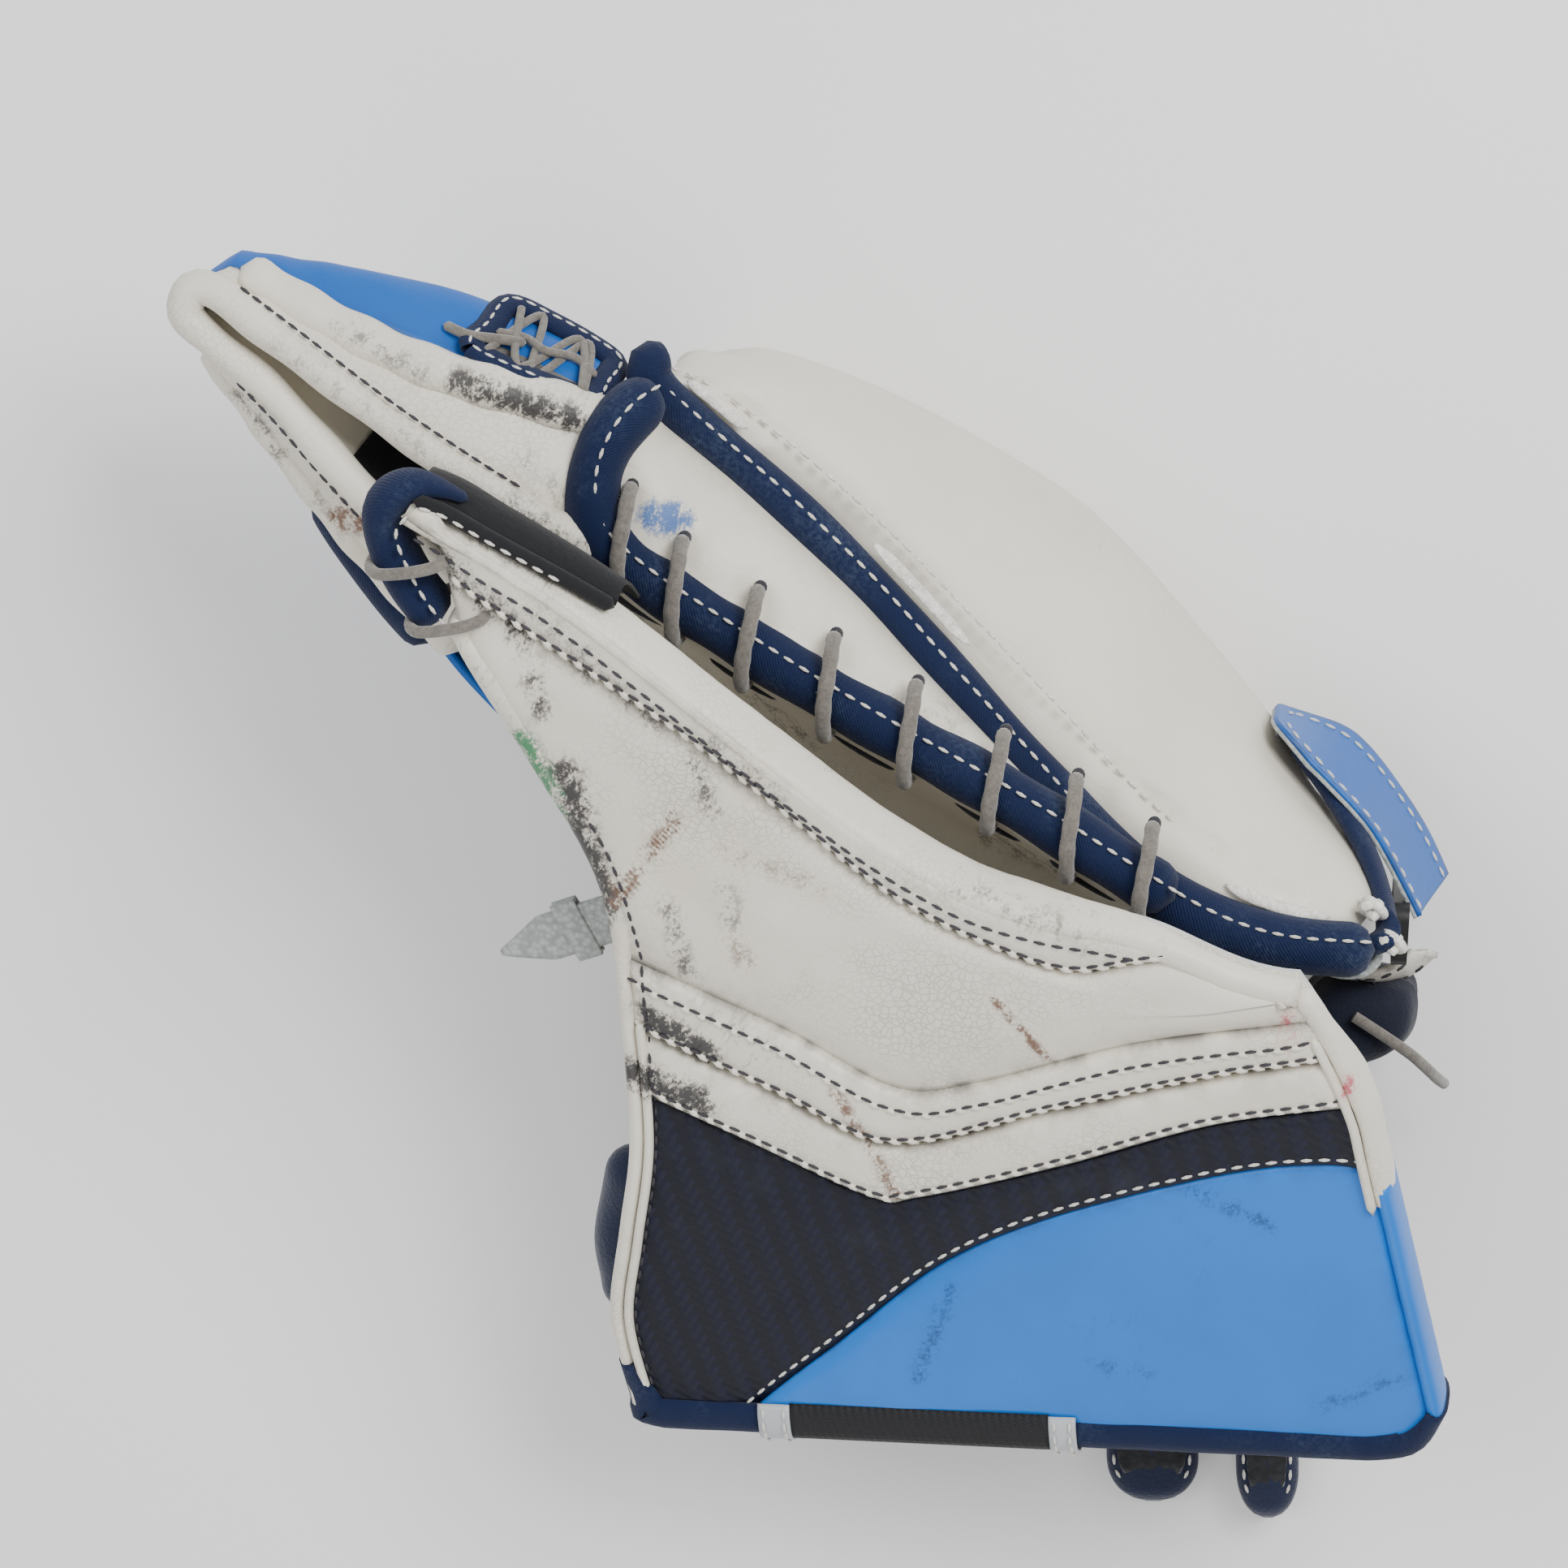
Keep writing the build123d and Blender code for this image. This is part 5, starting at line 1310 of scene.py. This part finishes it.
class GLOVE_OT_palm(GloveStep, bpy.types.Operator):
    """Pocket leather, its slots, and the fold at the spine"""
    bl_idname = "glove.palm"
    bl_label = "Palm"

    def build(self, sizes):
        def line(x):
            lace_y, lace_z = along(LACED_Y, x), along(LACED_Z, x)
            spine_y, spine_z = along(SPINE_Y, x), along(SPINE_Z, x)
            lean = 12 if x > -60 else 4
            return Route([(x, spine_y - lean * 0.5, spine_z + 15), (x, spine_y - 1, spine_z + 4),
                          (x, spine_y + 15, PALM_TOP + 0.5), (x, lace_y - 27, PALM_TOP + 0.3), (x, lace_y - 16, 73),
                          (x, lace_y - 8.5, lace_z - 4), (x, lace_y - 5.5, lace_z)], steps=6)

        cache = {}

        def place(s, t):
            x = PALM_START + PALM_LONG * s
            if x not in cache:
                cache[x] = line(x)
            p = cache[x].at(t)
            return p + Vector((0, 0, 0.5 * noise.noise(p * 0.07)))

        bm = facing(surface(place, 110, 50, (PALM_LONG, 130)), Vector((0, 0, 1)))
        piece("pocket_floor", bm, "palm", "finger_side", ["palm_leather", "spine_fold"], thick=2.2)
        rows = []
        for x in (-95, -62, -28, 8, 36):
            y, z = along(LACED_Y, x), along(LACED_Z, x)
            rows.append(Route([(x - 9, y - 9.0, z - 8.5), (x, y - 10.2, z - 9.5), (x + 9, y - 9.2, z - 8.5)]))
        bm = bmesh.new()
        add_bits(bm, [(r.at(0.5), r.heading(0.5)) for r in rows], 20, 2.6, (12, 8))
        piece("palm_slots", smoothed(bm), "lining", "finger_side")
        thread = Route([station(LACED, x, -10.4, -14) for x in range(-100, 50, 15)])
        stitches("palm_stitching", [thread], "dark_thread", "finger_side", sizes)
        bm = bmesh.new()
        bmesh.ops.create_cube(bm, size=1.0, matrix=Matrix.Translation((66, -5, 111)) @ Matrix.Diagonal((15, 14, 17, 1)))
        bmesh.ops.bevel(bm, geom=bm.edges, offset=3.0, segments=3, profile=0.5, affect="EDGES", material=-1)
        piece("heel_fold", smoothed(bm), "palm", "finger_side", ["heel_block"])


# ---------------------------------------------------------------- T pocket
def tee_line(tables, x):
    """Section line of the T at x, pulled together at its tip."""
    shut = smoothstep(0.0, 1.0, (-221.0 - x) / (-221.0 - TEE_TIP)) if x < -221 else 0.0
    points = []
    for ys, zs in tables:
        y, z = along(ys, x), along(zs, x)
        points.append(Vector((x, y + (15.5 - y) * shut * 0.8, z + (104 - z) * shut * 0.8)))
    return Route(points, steps=6)


def tee_sheet(name, tables, look, outwards, puff, folds, base=TEE_BASE):
    """One leather panel of the T, puffed along its length."""
    cache = {}
    middle = tee_line(tables, -170)

    def place(s, t):
        x = base + (TEE_TIP - base) * s
        if x not in cache:
            cache[x] = tee_line(tables, x)
        p = cache[x].at(t)
        crease = noise.noise(Vector((x * 0.05, p.y * 0.12, p.z * 0.12 + 7)))
        tip = smoothstep(-190, -225, x)
        fold = folds * (crease + 0.8 * tip * sin(p.y * 0.9 + x * 0.25))
        return p + outwards * (puff * (1 - abs(2 * t - 1) ** 3) + fold)

    def edge(s, t):
        return exp(-min(t, 1 - t) * middle.length / 2.5)

    bm = facing(surface(place, 62, max(8, int(middle.length / 2)), (102, middle.length), edge), outwards)
    return piece(name, bm, look, "pocket_web", [name.replace("pocket", "tee")], thick=2.6)


class GLOVE_OT_pocket(GloveStep, bpy.types.Operator):
    """Folded T of the pocket: rolled edge, bands, blue panels, bound window and laces"""
    bl_idname = "glove.pocket"
    bl_label = "T pocket"

    def build(self, sizes):
        up, low = Vector((0, 0.5, 0.86)), Vector((0, -0.6, 0.8))
        tip = [(-219, 21, 109.3), (-225.0, 19.5, 109), (-226.0, 15.5, 108.5), (-223.5, 11.5, 108), (-214, 9.2, 107.2)]
        roll = [(-107, 12.6, 99.5), (-115, 13, 103), (TEE_BASE, 13, 107)]
        roll += [station(UP_ROLL, x) for x in (-145, -165, -185, -205)] + tip
        roll += [station(LOW_ROLL, x) for x in (-198, -180, -160, -143)] + [(TEE_BASE, -15, 103)]
        route = Route(roll)
        bm = tube(route, lambda t: 4.4 + 0.25 * sin(t * 60) + 0.3 * sin(t * 17), 18, 1.6)
        piece("pocket_edge_roll", bm, "white_worn", "pocket_web", ["tee_roll"])
        tee_sheet("pocket_band_upper", [UP_ROLL, UP_SEAM], "white_worn", up, 1.8, 0.7, -119.0)
        tee_sheet("pocket_band_lower", [LOW_ROLL, LOW_SEAM], "white_worn", low, 2.2, 0.9)
        tee_sheet("pocket_panel_upper", [UP_SEAM, UP_BULGE, KEEL], "tee_blue", Vector((0, 0.9, 0.3)), 0.6, 0.4)
        tee_sheet("pocket_panel_lower", [LOW_SEAM, LOW_BULGE, KEEL], "tee_blue", Vector((0, -0.9, 0.1)), 0.6, 0.4)
        second = [(-117, 41.5, 93.5), (-131, 39.5, 98.5), (-149, 35, 101.5), (-165, 31, 102.6), (-180, 28.9, 103.2),
                  (-195, 28, 103.5), (-210, 28, 103.8), (-219, 28.4, 103.6)]
        bm = tube(Route(second), lambda t: 6.0 - 0.8 * t + 0.35 * sin(t * 40), 18, 1.8, flat=0.75, up=(0, 0.5, 0.86))
        piece("pocket_second_roll", bm, "white_worn", "pocket_web")
        outer = [station(LOW_SEAM, x, 0.5) for x in (-126.5, -145, -165, -185, -203, -218)]
        piece("pocket_lower_roll", tube(Route(outer), lambda t: 4.2 - 1.2 * t + 0.3 * sin(t * 36), 16, 1.8),
              "white_worn", "pocket_web")
        under = Route([(-176, -14.5, 90), (-167, -20, 88.5), (-157, -25, 87), (-146, -30, 85), (-135, -34, 83)])
        piece("pocket_lower_tape", tube(under, 5.2, 14, 2.0, flat=0.6, up=(0, -0.6, 0.8)), "navy", "pocket_web")
        runs = [Route([station(UP_ROLL, x, 5.0, 2.4) for x in range(-216, -126, 12)]),
                Route([station(LOW_ROLL, x, -4.6, 1.8) for x in range(-206, -126, 12)])]
        stitches("pocket_stitching", runs, "dark_thread", "pocket_web", sizes, 3.6)
        self.inside()
        self.stem()
        self.window(sizes)

    def inside(self):
        """Leather in the fold of the T, and the dark lining where it runs into the pocket, partly painted shade."""
        floor = [(-222, 99), (-205, 90), (-190, 82), (-165, 70), (-126, 64)]

        def laid(low, high):
            def place(s, t):
                x = low + (high - low) * s
                a, c = station(UP_ROLL, x, -1.5, -2.5), station(LOW_ROLL, x, 1.5, -2.5)
                b = Vector((x, 15.0, along(floor, x)))
                p = Route([a, a.lerp(b, 0.55) + Vector((0, 1.2, 0)), b, b.lerp(c, 0.45) - Vector((0, 1.2, 0)), c],
                          steps=5).at(t)
                folds = noise.noise(Vector((x * 0.10, t * 3.0, 2.0))) + 0.8 * noise.noise(Vector((x * 0.3, t * 4, 5)))
                return p + Vector((0, 0, 0.9 * folds * sin(pi * t)))
            return place

        # from x = -173 on the fold is black: partly real lining, partly painted shade where the fold runs into the dark
        # pocket
        for name, low, high, look in (("pocket_fold_leather", -222, -173, "soft_white"),
                                      ("pocket_fold_lining_and_shade", -173, -127, "black")):
            bm = facing(surface(laid(low, high), 46, 40, (high - low, 60)), Vector((0, 0, 1)))
            piece(name, bm, look, "pocket_web", thick=1.2)
        # black sheet across the T's throat, partly painted shade that darkens the opening into the pocket
        far = Route([(-129, 12.5, 105), (-129, 13.5, 86), (-129, 8, 68), (-129, -6, 80), (-129, -14, 100)])
        near = Route([(-106, 13.5, 98), (-106, 9, 86), (-106, -1, 65), (-106, -16, 76), (-106, -24, 98)])

        def throat(s, t):
            return far.at(t).lerp(near.at(t), s)

        obj = piece("pocket_throat", facing(surface(throat, 20, 36, (23, 80)), Vector((0, 0, 1))), "black", None,
                    thick=1.0)
        keep(obj)
        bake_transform(obj)

    def stem(self):
        def place(s, t):
            x = TEE_BASE + (-222 - TEE_BASE) * t
            return Vector((x, along(KEEL_Y, x) + (s - 0.5) * 10, along(KEEL_Z, x) - 0.6
                           + 0.9 * abs(2 * s - 1) ** 2))
        bm = facing(surface(place, 10, 50, (10, 96)), Vector((0, 0, -1)))
        piece("pocket_keel", bm, "palm", "pocket_web", ["pocket_stem"], thick=3.0, slot="pocket_leather")

    def window(self, sizes):
        """Navy tape round the lace window, the criss-cross laces and one loose end."""
        def spot(x, share, out=3.0):
            return station(UP_SEAM, x).lerp(station(UP_BULGE, x), share) + Vector((0, 0.85, 0.5)) * out

        corners = [spot(-160, 0.10), spot(-160, 0.5), spot(-159, 0.95), spot(-148, 1.0), spot(-136, 1.0),
                   spot(-129.5, 0.9), spot(-129, 0.5), spot(-130, 0.12), spot(-145, 0.05)]
        route = Route(corners, closed=True, steps=6)
        piece("window_tape", tube(route, 3.6, 14, 1.6, flat=0.5, loop=True, up=(0, 0.85, 0.5)), "navy", "pocket_web",
              ["tee_binding"])
        line = Route([c.lerp(spot(-145, 0.5), -0.06) + Vector((0, 0.85, 0.5)) * 1.6 for c in corners], closed=True)
        stitches("window_stitching", [line], "light_thread", "pocket_web", sizes, 3.6)
        net = facing(surface(lambda s, t: spot(-159 + 29.5 * s, 0.03 + 0.94 * t, 2.0), 16, 10, (29, 18)),
                     Vector((0, 0.85, 0.5)))
        piece("window_net", net, "felt", "pocket_web", thick=0.8)
        ties = [[(-157.5 + 6.6 * k, 0.95 if k % 2 else 0.05) for k in range(5)],
                [(-156.5 + 8.2 * k, 0.08 if k % 2 else 0.92) for k in range(4)],
                [(-158, 0.40), (-151, 0.52), (-145, 0.42), (-138, 0.58), (-131, 0.45)]]
        stands = ["pocket_laces"]
        for number, tie in enumerate(ties):
            spots = [spot(x, share, 3.9 + 0.7 * sin(2.1 * k + number * 1.7) + 0.5 * number)
                     for k, (x, share) in enumerate(tie)]
            piece(f"window_lace_{number + 1}", tube(Route(spots), 1.05, 9, 1.0, up=(0, 0.3, 1)), "lace", "pocket_web",
                  stands)
            stands = []
        loose = [spot(-150, 0.45, 4.4), spot(-156, 0.30, 5.0), spot(-163, 0.22, 3.9), spot(-170, 0.30, 2.6)]
        piece("window_lace_end", tube(Route(loose), 1.3, 9, 1.2, up=(0, 0.3, 1)), "lace", "pocket_web")


class GLOVE_OT_pocket_side(GloveStep, bpy.types.Operator):
    """Blue leather of the pocket where it runs down beside the thumb"""
    bl_idname = "glove.pocket_side"
    bl_label = "Pocket side"

    def build(self, sizes):
        head = Route([(-150, -24, 84), (-137, -31, 84), (-122, -37, 84), (-104, -43, 81), (-84, -49, 78)])
        foot = Route([(-140, -10, 58), (-128, -18, 60), (-114, -27, 61), (-99, -38, 63), (-84, -48, 66)])

        def place(s, t):
            a, b = head.at(s), foot.at(s)
            bulge = Vector((-0.75, -0.65, 0)) * (9 * sin(pi * t) * (1 - 0.6 * s))
            return a.lerp(b, t) + bulge + Vector((0, 0, 0.6 * noise.noise(a * 0.06)))

        bm = facing(surface(place, 34, 22, (50, 30)), Vector((-0.7, -0.7, 0.2)))
        piece("pocket_side_leather", bm, "tee_blue", "finger_side", thick=2.2)


# ---------------------------------------------------------------- wrist
MIDDLE = BOARD @ (CUFF_LEFT + CUFF_DIR * (CUFF_WIDTH / 2))
SIDE = BOARD.to_3x3() @ CUFF_DIR
SIDE = Vector((SIDE.x, SIDE.y, 0)).normalized()
AWAY = Vector((SIDE.y, -SIDE.x, 0))


def forearm(across, out, up):
    """A point by its place across the wrist, out past the cuff end, and its height."""
    return Vector((MIDDLE.x, MIDDLE.y, 0)) + SIDE * across + AWAY * out + Vector((0, 0, up))


def tongue_width(t):
    """Share of a tongue's full width that is left at t, where it rounds off towards its end."""
    return sqrt(max(0.02, 1 - max(0.0, (t - 0.62) / 0.38) ** 2.4))


class GLOVE_OT_wrist(GloveStep, bpy.types.Operator):
    """Wrist wrap, tongues, guard, ring keeper and strap"""
    bl_idname = "glove.wrist"
    bl_label = "Wrist"

    def build(self, sizes):
        inner = Route([(-62.5, 22), (-61.5, 14), (-56, 9.4), (0, 8.8), (54, 9.4), (61, 16), (62.5, 44)], steps=6)
        outer = Route([(-71, 22), (-71, 3), (-66, 0.2), (0, 0.0), (52, 0.2), (63, 2.5), (70.6, 9), (71, 44)], steps=6)
        ring = Route([(p.x, p.y) for p in outer.points] + [(66.5, 45.6)] + [(p.x, p.y) for p in inner.points[::-1]]
                     + [(-66.8, 23.6)], smooth=False, closed=True)

        def place(s, t):
            a = ring.at(s)
            quilt = 0.5 * abs(sin(t * pi * 6)) if a.y > 3 else 0.0
            heart = Vector((a.x * 0.96, max(a.y, 4.5), 0))
            p = Vector((a.x, a.y, 0)).lerp(heart, 0.05 + 0.04 * (1 - quilt))
            out = -93.5 + 101 * t
            near = min(t, 1 - t) * 101
            p = p.lerp(heart, 0.35 * exp(-near / 2.0))
            return forearm(p.x, out, max(p.y, 0.02))

        bm = surface(place, 120, 60, (320, 102))
        obj = piece("padded_wrist_wrap", capped(bm), "black", "finger_side", ["wrist_wrap"], slot="black_fabric")
        self.tongues(sizes)
        self.guard()
        self.keeper(sizes)
        self.strap(sizes)

    def tongues(self, sizes):
        for name, node, place_at, width, long, stretch in (
                ("tongue_inner_pad", "wrap_tongue_inner", 30, 25, 30, 1.5),
                ("tongue_outer_pad", "wrap_tongue_outer", 61, 17, 30, 6.0)):
            def place(s, t):
                y = 5.0 + (long + 3.2 + stretch) * t
                turn = 2 * pi * s
                thin = 4.4 * min(1.0, sqrt(max(0.0, (1 - t) * 9)))
                return forearm(place_at + width / 2 * tongue_width(t) * squared(cos(turn), 0.8), y,
                               7.5 + thin * sin(turn))
            bm = closed(surface(place, 28, 26, (2 * width, long)))
            obj = piece(name, bm, "navy_soft", "finger_side", [node])

            def facing_side(s, t):
                y = 6.0 + (long - 3 + stretch) * t
                half = (width / 2 - 3.2) * tongue_width(t)
                return forearm(place_at + half * (2 * s - 1), y, 12.1 + 0.5 * noise.noise(Vector((s * 9, t * 9, 0)))
                               - 2.2 * smoothstep(0.75, 1.0, t))
            bm = facing(surface(facing_side, 16, 20, (width, long)), Vector((0, 0, 1)))
            piece(f"{name}_fleece", bm, "fleece", "finger_side", thick=1.0)
            edge = [forearm(place_at + side * (width / 2 - 2.2) * tongue_width(t), 6 + (long - 1.5 + stretch) * t,
                            12.2 - 2.4 * smoothstep(0.75, 1.0, t))
                    for side, steps in ((-1, range(0, 9)), (1, range(8, -1, -1))) for t in (k / 8 for k in steps)]
            stitches(f"{name}_stitching", [Route(edge)], "light_thread", "finger_side", sizes, slot="navy_panel")

    def guard(self):
        plan = Route([(104.5, -13.5), (114, -16), (124, -15), (131, -7), (132.5, 2), (127, 11), (118, 9), (108, 4.5),
                      (104.3, -4)], closed=True, steps=5)
        heart = Vector((117, -3, 0))

        def place(s, t):
            p = plan.at(s)
            z = 12.3 + 37.2 * t
            near = min(t, 1 - t) * 37
            p = p.lerp(heart, 0.55 * exp(-near / 2.4) + 0.05 * abs(sin(t * pi * 3)))
            return Vector((p.x, p.y, z))

        bm = surface(place, 60, 34, (90, 38))
        obj = piece("heel_guard_pad", capped(bm), "navy_dark", "finger_side", ["wrist_guard"])

    def keeper(self, sizes):
        """White leather loop that holds the ring."""
        line = Route([(97.0, 5.2), (103, 6.2), (109, 8.0), (114.5, 11.6), (118.0, 17.0), (119.0, 21.5)], steps=8)

        def face(inside):
            def place(s, t):
                p, run = line.at(s), line.heading(s)
                out = Vector((run.y, -run.x, 0))
                flare = (1.0 + 8.0 * smoothstep(0.1, 0.7, s)) * t
                rounded = sqrt(max(0.0, 1 - max(0.0, (s - 0.82) / 0.18) ** 2)) if s > 0.82 else 1.0
                z = 44 + (56.5 - 25.0 * t - 44) * (0.55 + 0.45 * rounded)
                return Vector((p.x, p.y, z)) + out * (flare - (1.9 if inside else 0.0))
            return place

        bm = facing(surface(face(False), 40, 18, (line.length, 26), lambda s, t: exp(-min(t, 1 - t) * 26 / 2)),
                    Vector((0.3, -0.6, 0.5)))
        piece("ring_keeper", bm, "white", "finger_side", ["strap_keeper"], thick=1.7)
        place = face(False)
        rows = [Route([place(0.08 + 0.84 * k / 12, t) + Vector((0.1, -0.3, 0.3)) for k in range(13)])
                for t in (0.13, 0.87)]
        rows.append(Route([place(0.60, t) + Vector((0.1, -0.3, 0.3)) for t in (0.2, 0.5, 0.8)]))
        stitches("keeper_stitching", rows, "dark_thread", "finger_side", sizes)
        raw = Route([(91, 16, 86), (94, 13.4, 88.5), (98.1, 13.2, 89.5), (103.5, 14.8, 89.5), (107.4, 18.0, 89.5),
                     (108.6, 22, 89), (106.5, 25.5, 88)])
        piece("keeper_raw_edge", tube(raw, 1.3, 10, 1.2, flat=1.6), "webbing", "finger_side", slot="white_leather")

    def strap(self, sizes):
        """Blue leather strap with a rounded end and a raw grey edge."""
        line = Route([(58.0, 53.5), (75, 50.9), (90.0, 46.5), (104, 39.6), (115.3, 32.1)], steps=8)

        def shell(lift, low, high, trim):
            def place(s, t):
                share = trim + (1 - trim) * s
                p, run = line.at(share), line.heading(share)
                normal = Vector((-run.y, run.x, 0))
                if normal.y < 0:
                    normal = -normal
                near = (share - trim) * line.length
                pinch = 1 - sqrt(max(0.0, 1 - max(0.0, 1 - near / 9.0) ** 2)) if near < 9 else 0.0
                z = low + (high - low) * t
                z += ((low + high) / 2 - z) * pinch * 0.55
                wave = 0.35 * noise.noise(Vector((p.x * 0.08, z * 0.05, 2)))
                lean = 4.6 * (50 - z) / 18 * smoothstep(0.0, 0.35, share)
                return Vector((p.x, p.y, z)) + normal * (lift + wave + max(lean, -2.0))
            return place

        bm = facing(surface(shell(2.3, 26.4, 61.6, 0.0), 50, 24, (66, 36), lambda s, t: exp(-min(t, 1 - t) * 36 / 2)),
                    Vector((0.3, 1, 0)))
        piece("blue_wrist_strap", bm, "tee_blue", "wrist_strap", ["wrist_strap"], thick=1.3)
        bm = facing(surface(shell(1.05, 26.0, 62.0, 0.0), 50, 24, (66, 36)), Vector((0.3, 1, 0)))
        piece("strap_backing", bm, "webbing", "wrist_strap", thick=1.0, slot="blue_leather")
        place = shell(2.5, 32.0, 58.0, 0.05)
        rows = [Route([place(s / 20, t) for s in range(21)]) for t in (0.0, 1.0)]
        stitches("strap_stitching", rows, "light_thread", "wrist_strap", sizes, slot="blue_leather")


class GLOVE_OT_lace_tail(GloveStep, bpy.types.Operator):
    """Loose end of the heel lace"""
    bl_idname = "glove.lace_tail"
    bl_label = "Loose lace end"

    def build(self, sizes):
        data = bpy.data.curves.new("loose_lace_end", "CURVE")
        data.dimensions = "3D"
        data.bevel_depth = 1.5 * MM
        data.bevel_resolution = 3
        data.use_fill_caps = True
        spline = data.splines.new("NURBS")
        spline.points.add(len(LACE_TAIL) - 1)
        for point, place in zip(spline.points, LACE_TAIL):
            point.co = (*place, 1.0)
        spline.order_u = 3
        spline.use_endpoint_u = True
        spline.resolution_u = 10
        obj = bpy.data.objects.new("loose_lace_end", data)
        bpy.context.scene.collection.objects.link(obj)
        data.materials.append(LOOKS["lace"])
        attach(obj, "finger_side")
        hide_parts("lace_tail")
        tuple(LACE_TAIL[0])


CAD_FINISHES = {
    "cuff_core": "foam", "cuff_stiffener": "stiff", "backhand_board": "stiff",
    "hand_liner": "lining", "finger_stall_walls": "black", "palm_felt": "felt", "strap_ring": "plastic",
    "strap_hooks": "hooks",
}


class GLOVE_OT_frame_finishes(GloveStep, bpy.types.Operator):
    """Finishes for the frame's own pieces that stay in sight"""
    bl_idname = "glove.frame_finishes"
    bl_label = "Frame finishes"

    def build(self, sizes):
        for node, look in CAD_FINISHES.items():
            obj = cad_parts[node]
            obj.data.materials.clear()
            obj.data.materials.append(LOOKS[look])


# ---------------------------------------------------------------- stage: name, place, size in m and power in W
LAMPS = (("key", (0.25, 0.95, 1.15), 0.7, 22.0), ("fill", (-0.9, -0.1, 1.2), 1.1, 9.0),
         ("low", (0.5, -0.9, 0.8), 1.2, 5.0))
CAMERA_TILT, CAMERA_TURN = radians(13), radians(31.46)
CAMERA_LENS, CAMERA_FAR, CAMERA_AIM = 113.62, 1.25, Vector((-0.040, -0.020, 0.075))


class GLOVE_OT_stage(bpy.types.Operator):
    """Pale floor, soft lights and the camera"""
    bl_idname = "glove.stage"
    bl_label = "Stage"

    def execute(self, context):
        bm = bmesh.new()
        bmesh.ops.create_grid(bm, x_segments=2, y_segments=2, size=4.0)
        mesh = bpy.data.meshes.new("floor")
        bm.to_mesh(mesh)
        bm.free()
        floor = bpy.data.objects.new("floor", mesh)
        context.scene.collection.objects.link(floor)
        f = Finish("pale_floor", Roughness=0.9)
        tone = f.noise(f.spot(), 3.0, 2.0)
        mesh.materials.append(f.out(Base_Color=tone.mix((0.93, 0.93, 0.93), (0.96, 0.96, 0.96))))
        floor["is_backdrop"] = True
        world = bpy.data.worlds.new("soft_sky")
        world.use_nodes = True
        world.node_tree.nodes["Background"].inputs[0].default_value = (1, 1, 1, 1)
        world.node_tree.nodes["Background"].inputs[1].default_value = 0.50
        context.scene.world = world
        target = Vector((-0.02, -0.05, 0.06))
        for name, place, size_m, power in LAMPS:
            light = bpy.data.lights.new(name, "AREA")
            light.size, light.energy = size_m, power
            lamp = bpy.data.objects.new(name, light)
            lamp.location = place
            lamp.rotation_euler = (target - Vector(place)).to_track_quat("-Z", "Y").to_euler()
            context.scene.collection.objects.link(lamp)
        back = Vector((0, sin(CAMERA_TILT), cos(CAMERA_TILT)))
        right = Vector((cos(CAMERA_TURN), sin(CAMERA_TURN), 0))
        right = (right - back * right.dot(back)).normalized()
        up = back.cross(right)
        data = bpy.data.cameras.new("camera")
        data.lens, data.sensor_width = CAMERA_LENS, 36.0
        camera = bpy.data.objects.new("camera", data)
        turn = Matrix((right, up, back)).transposed().to_4x4()
        camera.matrix_world = Matrix.Translation(CAMERA_AIM + back * CAMERA_FAR) @ turn
        context.scene.collection.objects.link(camera)
        context.scene.camera = camera
        return {"FINISHED"}


class GLOVE_PT_panel(bpy.types.Panel):
    """The building steps, colours and sizes"""
    bl_label = "Glove"
    bl_space_type = "VIEW_3D"
    bl_region_type = "UI"
    bl_category = "Glove"

    def draw(self, context):
        for step in STEPS:
            self.layout.operator(step.bl_idname)
        for group in (context.scene.glove_paint, context.scene.glove_sizes):
            for name in group.bl_rna.properties.keys():
                if name not in ("rna_type", "name"):
                    self.layout.prop(group, name)


STEPS = (GLOVE_OT_board, GLOVE_OT_board_edges, GLOVE_OT_thumb_tip, GLOVE_OT_board_inside, GLOVE_OT_pad,
         GLOVE_OT_bindings, GLOVE_OT_lacing, GLOVE_OT_palm, GLOVE_OT_pocket, GLOVE_OT_pocket_side,
         GLOVE_OT_wrist, GLOVE_OT_lace_tail, GLOVE_OT_frame_finishes, GLOVE_OT_stage)
CLASSES = (GlovePaint, GloveSizes, *STEPS, GLOVE_PT_panel)


def register():
    for cls in CLASSES:
        bpy.utils.register_class(cls)
    bpy.types.Scene.glove_paint = bpy.props.PointerProperty(type=GlovePaint)
    bpy.types.Scene.glove_sizes = bpy.props.PointerProperty(type=GloveSizes)


def unregister():
    del bpy.types.Scene.glove_paint
    del bpy.types.Scene.glove_sizes
    for cls in reversed(CLASSES):
        bpy.utils.unregister_class(cls)


def main():
    register()
    for step in STEPS:
        group, name = step.bl_idname.split(".")
        getattr(getattr(bpy.ops, group), name)()
    boxes = [[list(corner) for corner in box] for box in (CAD_BOX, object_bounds())]


if __name__ == "__main__":
    main()
